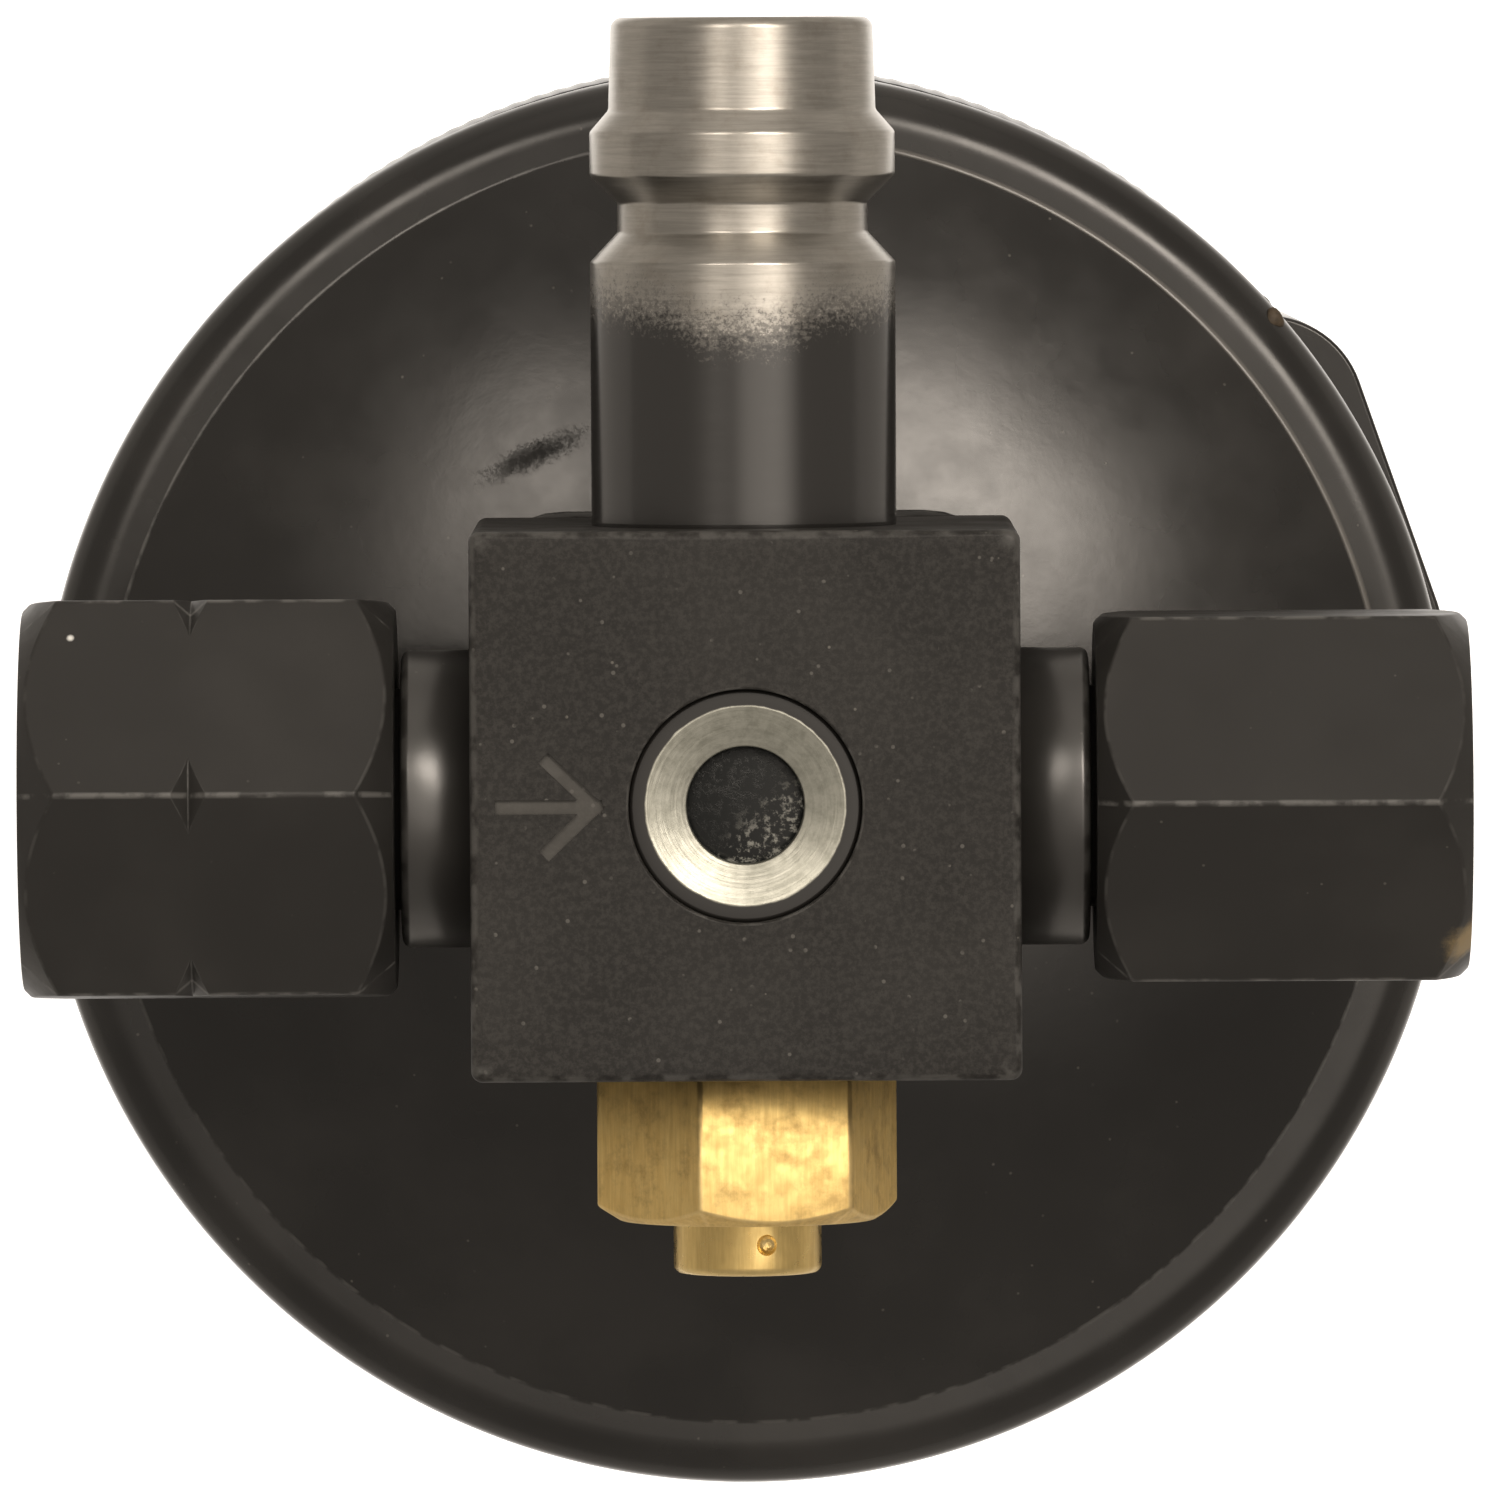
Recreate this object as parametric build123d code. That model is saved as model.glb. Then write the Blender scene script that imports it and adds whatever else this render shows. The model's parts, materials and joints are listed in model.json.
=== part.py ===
from build123d import *
import os
from math import atan2, cos, degrees, radians, sin, sqrt, tan

# Receiver drier: a domed steel can with a square head block on top.
# Millimetres. The origin is the centre of the can's flat bottom and +Z is the can's axis.
# The inlet nut points to -X, the outlet nut to +X, the service port to +Y, the relief valve to -Y.

# ---------------------------------------------------------------- can
CAN_R = 38.1  # 3 inch can
WALL = 2.0
WELD_Z = 150.0  # joint between the drawn body and the top cap
RIM_Z = 190.0  # top of the straight wall
BASE_CORNER_R = 9.0
SHOULDER_R = 2.6  # rounded edge of the cap
SHOULDER_SLOPE = 3.0  # degrees
CREASE_R = 34.65  # circle where the shoulder meets the dome
SEAT_R = 14.8  # flat pressed into the dome under the block
SEAT_Z = RIM_Z + 9.8
WELD_HALF_W = 2.6
WELD_PROUD = 0.35

BRACKET_ANGLE = 19.2  # degrees from +X towards +Y
BRACKET_T = 2.2
BRACKET_HALF_W = 12.6
BRACKET_BEND_R = 5.8
BRACKET_LOW, BRACKET_HIGH = 62.0, 112.0
BEAD_R = 1.1
BEAD_SHORT = 4.0  # how far each weld bead stops from the ends of the bracket

CONTACT_GAP = 0.02  # between pieces that touch
SCREW_GAP = 0.05  # between pieces that are screwed or brazed together

# ---------------------------------------------------------------- head block
BLOCK_SIDE = 28.6  # 1 1/8 inch bar
BLOCK_TOP = RIM_Z + 38.4
BLOCK_CORNER_R = 0.6
EDGE = 0.4  # broken edge of machined parts
PORT_Z = RIM_Z + 26.9  # axis of all four side fittings
FACE = BLOCK_SIDE / 2
BRAZE_H = 0.8
BRAZE_PROUD = 0.35
BRAZE_CORNER_R = 5.0
BRAZE_DEPTH = 1.6  # below the block, where the dome falls away
PASSAGE_R = 3.2
INLET_DRILL_X = -8.2  # drilling from the inlet port down into the can
INLET_DRILL_R = 2.5
SIDE_PASSAGE_R = 1.8  # from the service port and the relief valve to the centre
INLET_DRILL_PLAY = 0.3  # the cap's hole is that much wider
FACE_RING_R = 0.68  # section of the O-rings between the block and its side fittings
FACE_GROOVE_DEPTH = 1.4
FACE_GROOVE_HALF_W = 0.85

FLOW_MARK_X = -10.2  # centre of the arrow stamped beside the sight glass
FLOW_MARK_L = 4.8
FLOW_MARK_W = 4.6
FLOW_MARK_STROKE = 0.75
FLOW_MARK_DEPTH = 0.3

# ---------------------------------------------------------------- stubs and nuts, measured outwards along X
STUB_R = 7.8  # shoulder between block and nut
SPIGOT_R = 5.6  # end brazed into the block
SPIGOT_L = 4.0
NECK_R = 5.8  # the nut turns on this
FLANGE_R = 7.0  # keeps the nut captive
FLANGE_T = 2.0
PILOT_R = 4.75  # nose that enters the mating fitting
PILOT_L = 4.6
PILOT_RING_R = 0.9  # section of the O-ring on the pilot
NUT_INNER_X = 18.3
NUT_OUTER_X = 37.85
NUT_WEB = 3.2
TURN_GAP = 0.3  # play between a nut and its stub
THREAD_R = 7.2  # minor radius of the 5/8-18 thread
UNDERCUT_R = 8.1  # thread relief
THREAD_L = 9.5
INLET_AF = 20.64  # 13/16 inch hexagon
OUTLET_AF = 19.05  # 3/4 inch hexagon
INLET_TURN = 3.6  # degrees that the topmost corner leans towards +Y
NOTCH_DEPTH = 0.95
NOTCH_X = 28.9

# ---------------------------------------------------------------- service port, measured along +Y
PORT_R = 8.0  # barrel and collar
PORT_NECK_R = 6.55
PORT_NOSE_R = 7.0
PORT_TIP_R = 6.85
PORT_TIP = 40.9
PORT_CHAMFER_END = 36.05
COLLAR_OUT = 34.9
COLLAR_IN = 32.65
NECK_OUT = 31.2
NECK_IN = 29.65
BARREL_OUT = 28.1
PORT_RING_PATH_R = 6.2
PORT_SPIGOT_R = 4.5
PORT_SPIGOT_L = 7.0
MOUTH_R = 4.4
MOUTH_END = 35.8
CORE_SHELF_R = 4.0
CORE_OUT = 34.0
CORE_R = 3.6
CORE_IN = 21.2
CORE_ROOM_R = 2.5  # room for the spring
CORE_WEB = 2.6  # guides the pin
CORE_SEAT_R = 1.5
CORE_SEAT_T = 1.6
CORE_GROOVE_R = 3.05
CORE_GROOVE = (24.4, 25.4)
CORE_RING_R = 0.28  # section of the seal in that groove
POPPET_ROOM_END = 16.6
POPPET_ROOM_R = 3.1
PIN_R = 0.8
PIN_GUIDE_R = 0.87
PIN_TIP = 35.4
PIN_COLLAR_R = 2.0
PIN_COLLAR = (29.3, 30.1)
PIN_HEAD_R = 2.6
PIN_HEAD_T = 1.2
PIN_SEAL_T = 0.75
PIN_SPRING_R = 1.7
PIN_SPRING_WIRE = 0.22
VALVE_SPRING_TURNS = 6

# ---------------------------------------------------------------- relief valve, measured along -Y
RELIEF_AF = 14.0
RELIEF_TURN = 17.8  # degrees that the topmost corner leans towards -X
RELIEF_HEX_END = 22.15
RELIEF_BEVEL = 32.0  # degrees, end of the hexagon
RELIEF_TIP = 24.95
RELIEF_NOSE_R = 3.88
RELIEF_NOSE_FILLET = 0.9
PUNCH_R = 0.65  # ball of the punch mark on the nose
PUNCH_AT = 23.3
PUNCH_SIDE = 15.0  # degrees from the top towards +X
RELIEF_RING_PATH_R = 5.7
RELIEF_SPIGOT_R = 4.75
RELIEF_SPIGOT_L = 7.0
RELIEF_BORE_R = 2.9
RELIEF_SEAT = 11.5
RELIEF_HOLE_R = 1.4
POPPET_R = 2.6
POPPET_SEAL_R = 2.3
POPPET_SEAL_T = 0.8
POPPET_HEAD_T = 1.4
POPPET_STEM_R = 1.1
POPPET_STEM_END = 16.8
ADJUSTER_IN = 20.95
ADJUSTER_OUT = 24.2
ADJUSTER_VENT_R = 1.0
ADJUSTER_SLOT = (0.8, 0.7)  # width and depth
RELIEF_SPRING_R = 1.95
RELIEF_SPRING_WIRE = 0.35

# ---------------------------------------------------------------- sight glass, down from the block
GLASS_BORE_R = 6.1
GLASS_BORE_L = 7.6
RING_DROP = 0.7
CONE_TOP_R = 5.15
CONE_END_R = 3.05
CONE_DEPTH = 1.4
LENS_R = 4.4
LENS_T = 2.9
LENS_LIP = 0.2  # of the ring above the lens
GLASS_SEAL_R = 0.42
GLASS_SEAL_UP = 1.5  # above the ring's lower end

# ---------------------------------------------------------------- inside the can
TUBE_R = 4.75  # pickup tube
TUBE_WALL = 0.9
TUBE_LOW = 14.0
TUBE_HIGH = SEAT_Z + 5.0
HUB_R = 5.3  # hole in the cap for the pickup tube
STRAINER_R = 5.7
STRAINER_LOW, STRAINER_HIGH = 8.5, 22.0
SCREEN_T = 0.8
INSERT_GAP = 0.4
INSERT_R = CAN_R - WALL - INSERT_GAP  # plates, felts and bed
TUBE_PLAY = 0.3  # round the pickup tube
SUPPORT_Z = 30.0  # top of the lower plate
FELT_T = 6.0
BED_L = 98.0
PLATE_T = 1.2
SKIRT_LOW = 9.2
UPPER_SKIRT_L = 6.0
HOLE_R = 1.5
HOLE_RINGS = {12.0: 10, 19.0: 16, 26.0: 22}  # radius of each ring of holes: number of holes
BED_SPRING_R = 12.2
BED_SPRING_WIRE = 1.1
BED_SPRING_TURNS = 4.5


# ---------------------------------------------------------------- helpers
def turned(points):
    """Solid of revolution about Z from the (radius, height) corners of a closed outline."""
    return spun(Polyline(*points, close=True))


def spun(outline):
    """Solid of revolution about Z from a closed outline drawn in radius and height."""
    return Rot(90, 0, 0) * revolve(make_face(outline), Axis.Y)


def ring(outer, inner, low, high):
    return turned([(inner, low), (outer, low), (outer, high), (inner, high)])


def rod(radius, low, high):
    return Pos(0, 0, low) * Cylinder(radius, high - low, align=(Align.CENTER, Align.CENTER, Align.MIN))


def o_ring(path_r, section_r, height):
    return Pos(0, 0, height) * Torus(path_r, section_r)


def hexagon(across_flats, low, high, turn):
    """Hexagonal bar along Z with a corner towards +X, turned about Z."""
    outline = RegularPolygon(across_flats / sqrt(3), 6, rotation=turn)
    return Pos(0, 0, low) * extrude(outline, high - low)


def coil(radius, wire_r, low, high, turns):
    """Compression spring of round wire between two heights, wire included."""
    rise = high - low - 2 * wire_r
    path = Helix(pitch=rise / turns, height=rise, radius=radius)
    section = Plane(origin=path @ 0, z_dir=path % 0) * Circle(wire_r)
    return Pos(0, 0, low + wire_r) * sweep(section, path=path, is_frenet=True)


# Side fittings are drawn along +Z, with +X where the can's +Z will be, and then laid on their axis.
def towards(direction):
    return Plane(origin=(0, 0, PORT_Z), x_dir=(0, 0, 1), z_dir=direction).location


TO_INLET = towards((-1, 0, 0))
TO_OUTLET = towards((1, 0, 0))
TO_SERVICE = towards((0, 1, 0))
TO_RELIEF = towards((0, -1, 0))


# ---------------------------------------------------------------- can
def canister_body():
    corner = (CAN_R - BASE_CORNER_R, BASE_CORNER_R)
    inner_r = CAN_R - WALL
    outline = Line((0, 0), (corner[0], 0))
    outline += CenterArc(corner, BASE_CORNER_R, 270, 90)
    outline += Polyline((CAN_R, corner[1]), (CAN_R, WELD_Z), (inner_r, WELD_Z), (inner_r, corner[1]))
    outline += CenterArc(corner, BASE_CORNER_R - WALL, 0, -90)
    outline += Polyline((corner[0], WALL), (0, WALL), (0, 0))
    return spun(outline)


def dome_sphere():
    """Height of the centre and radius of the sphere through the crease and the edge of the seat."""
    slope = radians(SHOULDER_SLOPE)
    knee_r = CAN_R - SHOULDER_R * (1 - sin(slope))
    crease_z = RIM_Z + SHOULDER_R * cos(slope) + (knee_r - CREASE_R) * tan(slope)
    square_gap = CREASE_R**2 - SEAT_R**2 + crease_z**2 - SEAT_Z**2
    centre_z = square_gap / (2 * (crease_z - SEAT_Z))
    return centre_z, sqrt(SEAT_R**2 + (SEAT_Z - centre_z) ** 2)


def cap_skin(inset):
    """Edges of the cap's outline from the weld to the hub hole, and its two end points."""
    centre_z, sphere_r = dome_sphere()
    wall_r, corner_r, dome_r = CAN_R - inset, SHOULDER_R - inset, sphere_r - inset
    knee = (CAN_R - SHOULDER_R, RIM_Z)
    knee_sweep = 90 - SHOULDER_SLOPE
    knee_end = (knee[0] + corner_r * cos(radians(knee_sweep)), RIM_Z + corner_r * sin(radians(knee_sweep)))
    crease_r = CREASE_R - inset / 2
    crease = (crease_r, centre_z + sqrt(dome_r**2 - crease_r**2))
    seat_rise = SEAT_Z - inset - centre_z
    seat = (sqrt(dome_r**2 - seat_rise**2), SEAT_Z - inset)
    start_angle = degrees(atan2(crease[1] - centre_z, crease[0]))
    end_angle = degrees(atan2(seat_rise, seat[0]))
    low, hub = (wall_r, WELD_Z), (HUB_R, SEAT_Z - inset)
    skin = Line(low, (wall_r, RIM_Z))
    skin += CenterArc(knee, corner_r, 0, knee_sweep)
    skin += Line(knee_end, crease)
    skin += CenterArc((0, centre_z), dome_r, start_angle, end_angle - start_angle)
    skin += Line(seat, hub)
    return skin, low, hub


def top_cap():
    outer, outer_low, outer_hub = cap_skin(0)
    inner, inner_low, inner_hub = cap_skin(WALL)
    cap = spun(outer + inner + Line(outer_low, inner_low) + Line(outer_hub, inner_hub))
    hole_r = INLET_DRILL_R + INLET_DRILL_PLAY
    return cap - Pos(INLET_DRILL_X, 0, 0) * rod(hole_r, SEAT_Z - 2 * WALL, SEAT_Z + WALL)


def filled_cap():
    """The cap's outside as one solid without its hollow."""
    outer, outer_low, outer_hub = cap_skin(0)
    return spun(outer + Polyline(outer_hub, (0, SEAT_Z), (0, WELD_Z), outer_low))


def girth_weld():
    rounded = ThreePointArc(
        (CAN_R, WELD_Z - WELD_HALF_W), (CAN_R + WELD_PROUD, WELD_Z), (CAN_R, WELD_Z + WELD_HALF_W)
    )
    return spun(rounded + Line(rounded @ 1, rounded @ 0))


def bracket_place():
    return Rot(0, 0, BRACKET_ANGLE)


def channel_section(inset):
    """Block of the bracket's outside, or of its inside when inset by the sheet thickness."""
    depth = BRACKET_HALF_W
    width = 2 * (BRACKET_HALF_W - inset)
    low, high = BRACKET_LOW, BRACKET_HIGH
    block = Pos(CAN_R + BRACKET_T + CONTACT_GAP - inset - depth / 2, 0, (low + high) / 2) * Box(
        depth, width, high - low
    )
    outer_edges = block.edges().filter_by(Axis.Z).group_by(Axis.X)[-1]
    return fillet(outer_edges, BRACKET_BEND_R - inset)


def can_cylinder():
    return rod(CAN_R + CONTACT_GAP, BASE_CORNER_R, RIM_Z)


def index_bracket():
    channel = channel_section(0) - channel_section(BRACKET_T)
    return bracket_place() * (channel - can_cylinder())


def bracket_welds():
    """A bead along each leg, where the leg meets the wall."""
    wall_x = sqrt(CAN_R**2 - BRACKET_HALF_W**2)
    low, high = BRACKET_LOW + BEAD_SHORT, BRACKET_HIGH - BEAD_SHORT
    beads = []
    for side in (-1, 1):
        bead = Pos(wall_x, side * BRACKET_HALF_W, 0) * rod(BEAD_R, low, high)
        beads.append(bead - can_cylinder() - channel_section(-CONTACT_GAP))
    return bracket_place() * Compound(children=beads)


# ---------------------------------------------------------------- head block
def flow_mark():
    """Arrow towards +X, cut into the block's top beside the inlet."""
    tail = (FLOW_MARK_X - FLOW_MARK_L / 2, 0)
    tip = (FLOW_MARK_X + FLOW_MARK_L / 2, 0)
    arrow = trace(Line(tail, tip), FLOW_MARK_STROKE)
    for side in (-1, 1):
        wing = (FLOW_MARK_X, side * FLOW_MARK_W / 2)
        arrow += trace(Line(wing, tip), FLOW_MARK_STROKE)
    return Pos(0, 0, BLOCK_TOP) * extrude(arrow, -FLOW_MARK_DEPTH)


def square_bar(low, high):
    return Pos(0, 0, low) * Box(
        BLOCK_SIDE, BLOCK_SIDE, high - low, align=(Align.CENTER, Align.CENTER, Align.MIN)
    )


def head_block():
    block = square_bar(SEAT_Z, BLOCK_TOP)
    block = fillet(block.edges().filter_by(Axis.Z), BLOCK_CORNER_R)
    block = chamfer(block.faces().sort_by(Axis.Z)[-1].edges(), EDGE)
    out = FACE + 1
    block -= rod(TUBE_R + SCREW_GAP, SEAT_Z - 1, TUBE_HIGH)
    block -= rod(PASSAGE_R, SEAT_Z, BLOCK_TOP - GLASS_BORE_L)
    block -= rod(GLASS_BORE_R, BLOCK_TOP - GLASS_BORE_L, BLOCK_TOP + 1)
    block -= Pos(INLET_DRILL_X, 0, 0) * rod(INLET_DRILL_R, SEAT_Z - 1, PORT_Z)
    for place in (TO_INLET, TO_OUTLET):
        block -= place * rod(SPIGOT_R + SCREW_GAP, FACE - SPIGOT_L, out)
    block -= TO_OUTLET * rod(PASSAGE_R, 0, FACE)
    block -= TO_INLET * rod(PASSAGE_R, -INLET_DRILL_X, FACE)
    block -= TO_SERVICE * (
        rod(PORT_SPIGOT_R + SCREW_GAP, FACE - PORT_SPIGOT_L, out) + rod(SIDE_PASSAGE_R, 0, FACE)
    )
    block -= TO_RELIEF * (
        rod(RELIEF_SPIGOT_R + SCREW_GAP, FACE - RELIEF_SPIGOT_L, out) + rod(SIDE_PASSAGE_R, 0, FACE)
    )
    return block - flow_mark()


def head_braze():
    """Bead around the foot of the block, which also fills the gap between its corners and the dome."""
    side = BLOCK_SIDE + 2 * BRAZE_PROUD
    foot = extrude(RectangleRounded(side, side, BRAZE_CORNER_R), BRAZE_DEPTH + BRAZE_H)
    foot = chamfer(foot.faces().sort_by(Axis.Z)[-1].edges(), BRAZE_PROUD * 0.9)
    return Pos(0, 0, SEAT_Z - BRAZE_DEPTH) * foot - square_bar(SEAT_Z, BLOCK_TOP) - filled_cap()


# ---------------------------------------------------------------- stubs and nuts
def stub():
    shoulder_end = NUT_INNER_X - TURN_GAP
    flange_in = NUT_INNER_X + NUT_WEB + TURN_GAP
    flange_out = flange_in + FLANGE_T
    tip = flange_out + PILOT_L
    inner = FACE - SPIGOT_L
    return turned(
        [
            (PASSAGE_R, inner),
            (SPIGOT_R, inner),
            (SPIGOT_R, FACE),
            (STUB_R, FACE),
            (STUB_R, shoulder_end - EDGE),
            (STUB_R - EDGE, shoulder_end),
            (NECK_R, shoulder_end),
            (NECK_R, flange_in),
            (FLANGE_R, flange_in),
            (FLANGE_R, flange_out),
            (PILOT_R, flange_out),
            (PILOT_R, tip - EDGE),
            (PILOT_R - EDGE, tip),
            (PASSAGE_R, tip),
        ]
    )


def pilot_o_ring():
    flange_out = NUT_INNER_X + NUT_WEB + TURN_GAP + FLANGE_T
    return o_ring(PILOT_R + PILOT_RING_R, PILOT_RING_R, flange_out + PILOT_RING_R)


def swivel_nut(across_flats, turn, notched):
    """Hexagon nut, chamfered at both ends, with a threaded mouth, an undercut and an inner web."""
    low, high = NUT_INNER_X, NUT_OUTER_X
    corner_r = across_flats / sqrt(3) + 1
    end_r = across_flats / 2 - EDGE
    bevel = corner_r - end_r
    nut = hexagon(across_flats, low, high, turn)
    nut &= turned(
        [(0, low), (end_r, low), (corner_r, low + bevel), (corner_r, high - bevel), (end_r, high), (0, high)]
    )
    if notched:
        bottom_r = across_flats / sqrt(3) - NOTCH_DEPTH
        half = corner_r - bottom_r
        nut -= turned([(bottom_r, NOTCH_X), (corner_r, NOTCH_X - half), (corner_r, NOTCH_X + half)])
    thread_in = high - THREAD_L
    nut -= turned(
        [
            (0, low - 1),
            (NECK_R + TURN_GAP, low - 1),
            (NECK_R + TURN_GAP, low + NUT_WEB),
            (UNDERCUT_R, low + NUT_WEB),
            (UNDERCUT_R, thread_in),
            (THREAD_R, thread_in),
            (THREAD_R, high - EDGE),
            (THREAD_R + 2 * EDGE, high + EDGE),
            (0, high + EDGE),
        ]
    )
    return nut


# ---------------------------------------------------------------- service port
def face_groove(path_r):
    """Inner radius, outer radius and bottom of the O-ring groove in a fitting's seat on the block."""
    return path_r - FACE_GROOVE_HALF_W, path_r + FACE_GROOVE_HALF_W, FACE + FACE_GROOVE_DEPTH


def service_port_body():
    """Quick-connect port: barrel, neck, collar and nose, bored for the valve core."""
    groove_in, groove_out, groove_end = face_groove(PORT_RING_PATH_R)
    return turned(
        [
            (SIDE_PASSAGE_R, FACE - PORT_SPIGOT_L),
            (PORT_SPIGOT_R, FACE - PORT_SPIGOT_L),
            (PORT_SPIGOT_R, FACE),
            (groove_in, FACE),
            (groove_in, groove_end),
            (groove_out, groove_end),
            (groove_out, FACE),
            (PORT_R, FACE),
            (PORT_R, BARREL_OUT),
            (PORT_NECK_R, NECK_IN),
            (PORT_NECK_R, NECK_OUT),
            (PORT_R, COLLAR_IN),
            (PORT_R, COLLAR_OUT),
            (PORT_NOSE_R, PORT_CHAMFER_END),
            (PORT_TIP_R, PORT_TIP - EDGE),
            (PORT_TIP_R - EDGE, PORT_TIP),
            (MOUTH_R + EDGE, PORT_TIP),
            (MOUTH_R, PORT_TIP - EDGE),
            (MOUTH_R, MOUTH_END),
            (CORE_SHELF_R, MOUTH_END),
            (CORE_SHELF_R, CORE_OUT),
            (CORE_R + SCREW_GAP, CORE_OUT),
            (CORE_R + SCREW_GAP, CORE_IN),
            (POPPET_ROOM_R, CORE_IN),
            (POPPET_ROOM_R, POPPET_ROOM_END),
            (SIDE_PASSAGE_R, POPPET_ROOM_END),
        ]
    )


def service_port_gasket():
    return o_ring(PORT_RING_PATH_R, FACE_RING_R, FACE + FACE_GROOVE_DEPTH / 2)


def valve_core_body():
    """Sleeve with a guide web at the mouth end and the valve seat at the inner end."""
    groove_in, groove_out = CORE_GROOVE
    return turned(
        [
            (CORE_SEAT_R, CORE_IN),
            (CORE_R, CORE_IN),
            (CORE_R, groove_in),
            (CORE_GROOVE_R, groove_in),
            (CORE_GROOVE_R, groove_out),
            (CORE_R, groove_out),
            (CORE_R, CORE_OUT),
            (PIN_GUIDE_R, CORE_OUT),
            (PIN_GUIDE_R, CORE_OUT - CORE_WEB),
            (CORE_ROOM_R, CORE_OUT - CORE_WEB),
            (CORE_ROOM_R, CORE_IN + CORE_SEAT_T),
            (CORE_SEAT_R, CORE_IN + CORE_SEAT_T),
        ]
    )


def valve_core_seal():
    path_r = CORE_GROOVE_R + CORE_RING_R + CONTACT_GAP / 2
    return o_ring(path_r, CORE_RING_R, sum(CORE_GROOVE) / 2)


def valve_core_pin():
    """Depressor pin with the collar that the spring lifts and the poppet head at its inner end."""
    head_out = CORE_IN - PIN_SEAL_T - SCREW_GAP
    return turned(
        [
            (0, head_out - PIN_HEAD_T),
            (PIN_HEAD_R, head_out - PIN_HEAD_T),
            (PIN_HEAD_R, head_out),
            (PIN_R, head_out),
            (PIN_R, PIN_COLLAR[0]),
            (PIN_COLLAR_R, PIN_COLLAR[0]),
            (PIN_COLLAR_R, PIN_COLLAR[1]),
            (PIN_R, PIN_COLLAR[1]),
            (PIN_R, PIN_TIP - EDGE),
            (PIN_R - EDGE, PIN_TIP),
            (0, PIN_TIP),
        ]
    )


def valve_pin_seal():
    seal_out = CORE_IN - SCREW_GAP
    return ring(PIN_HEAD_R - SCREW_GAP, PIN_R + CONTACT_GAP, seal_out - PIN_SEAL_T, seal_out)


def valve_core_spring():
    low, high = CORE_IN + CORE_SEAT_T + CONTACT_GAP, PIN_COLLAR[0] - CONTACT_GAP
    return coil(PIN_SPRING_R, PIN_SPRING_WIRE, low, high, VALVE_SPRING_TURNS)


# ---------------------------------------------------------------- relief valve
def relief_body():
    """Hexagon with a threaded spigot towards the block and a turned nose at the outlet."""
    corner_r = RELIEF_AF / sqrt(3) + 1
    end_r, end = RELIEF_AF / 2 - EDGE, RELIEF_HEX_END
    bevel = (corner_r - end_r) * tan(radians(RELIEF_BEVEL))
    groove_in, groove_out, groove_end = face_groove(RELIEF_RING_PATH_R)
    body = hexagon(RELIEF_AF, FACE, end, RELIEF_TURN)
    body &= turned([(0, FACE), (corner_r, FACE), (corner_r, end - bevel), (end_r, end), (0, end)])
    nose = rod(RELIEF_NOSE_R, end, RELIEF_TIP)
    body += fillet(nose.faces().sort_by(Axis.Z)[-1].edges(), RELIEF_NOSE_FILLET)
    body += rod(RELIEF_SPIGOT_R, FACE - RELIEF_SPIGOT_L, FACE)
    body -= ring(groove_out, groove_in, FACE - CONTACT_GAP, groove_end)
    body -= rod(RELIEF_BORE_R, RELIEF_SEAT, RELIEF_TIP + 1)
    body -= rod(RELIEF_HOLE_R, 0, RELIEF_TIP)
    return body - Rot(0, 0, -PUNCH_SIDE) * Pos(RELIEF_NOSE_R + PUNCH_R / 2, 0, PUNCH_AT) * Sphere(PUNCH_R)


def relief_o_ring():
    return o_ring(RELIEF_RING_PATH_R, FACE_RING_R, FACE + FACE_GROOVE_DEPTH / 2)


def poppet_heights():
    """Inner face of the poppet's seal, inner face of its head and outer face of its head."""
    seal_in = RELIEF_SEAT + SCREW_GAP
    head_in = seal_in + POPPET_SEAL_T
    return seal_in, head_in, head_in + POPPET_HEAD_T


def relief_poppet():
    _, head_in, head_out = poppet_heights()
    return rod(POPPET_R, head_in, head_out) + rod(POPPET_STEM_R, head_out, POPPET_STEM_END)


def relief_poppet_seal():
    seal_in, head_in, _ = poppet_heights()
    return rod(POPPET_SEAL_R, seal_in, head_in)


def relief_spring():
    low, high = poppet_heights()[2] + CONTACT_GAP, ADJUSTER_IN - CONTACT_GAP
    return coil(RELIEF_SPRING_R, RELIEF_SPRING_WIRE, low, high, VALVE_SPRING_TURNS)


def relief_adjuster():
    """Screwed plug that sets the spring, with a vent through it and a driver slot."""
    plug = ring(RELIEF_BORE_R - SCREW_GAP, ADJUSTER_VENT_R, ADJUSTER_IN, ADJUSTER_OUT)
    slot_w, slot_depth = ADJUSTER_SLOT
    return plug - Pos(0, 0, ADJUSTER_OUT) * Box(slot_w, 2 * RELIEF_BORE_R, 2 * slot_depth)


# ---------------------------------------------------------------- sight glass
GLASS_RING_LOW = BLOCK_TOP - GLASS_BORE_L + SCREW_GAP
GLASS_RING_TOP = BLOCK_TOP - RING_DROP
GLASS_SEAL_Z = GLASS_RING_LOW + GLASS_SEAL_UP


def sight_glass_ring():
    """Funnel-faced plug that holds the lens, grooved outside for its O-ring."""
    low, top = GLASS_RING_LOW, GLASS_RING_TOP
    cone_end = top - CONE_DEPTH
    outer = GLASS_BORE_R - SCREW_GAP
    lip = EDGE / 2
    groove_r, groove_half = outer - 2 * GLASS_SEAL_R, GLASS_SEAL_R + 2 * SCREW_GAP
    return turned(
        [
            (LENS_R + SCREW_GAP, low),
            (outer, low),
            (outer, GLASS_SEAL_Z - groove_half),
            (groove_r, GLASS_SEAL_Z - groove_half),
            (groove_r, GLASS_SEAL_Z + groove_half),
            (outer, GLASS_SEAL_Z + groove_half),
            (outer, top - lip),
            (outer - lip, top),
            (CONE_TOP_R, top),
            (CONE_END_R, cone_end),
            (CONE_END_R, cone_end - LENS_LIP),
            (LENS_R + SCREW_GAP, cone_end - LENS_LIP),
        ]
    )


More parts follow.
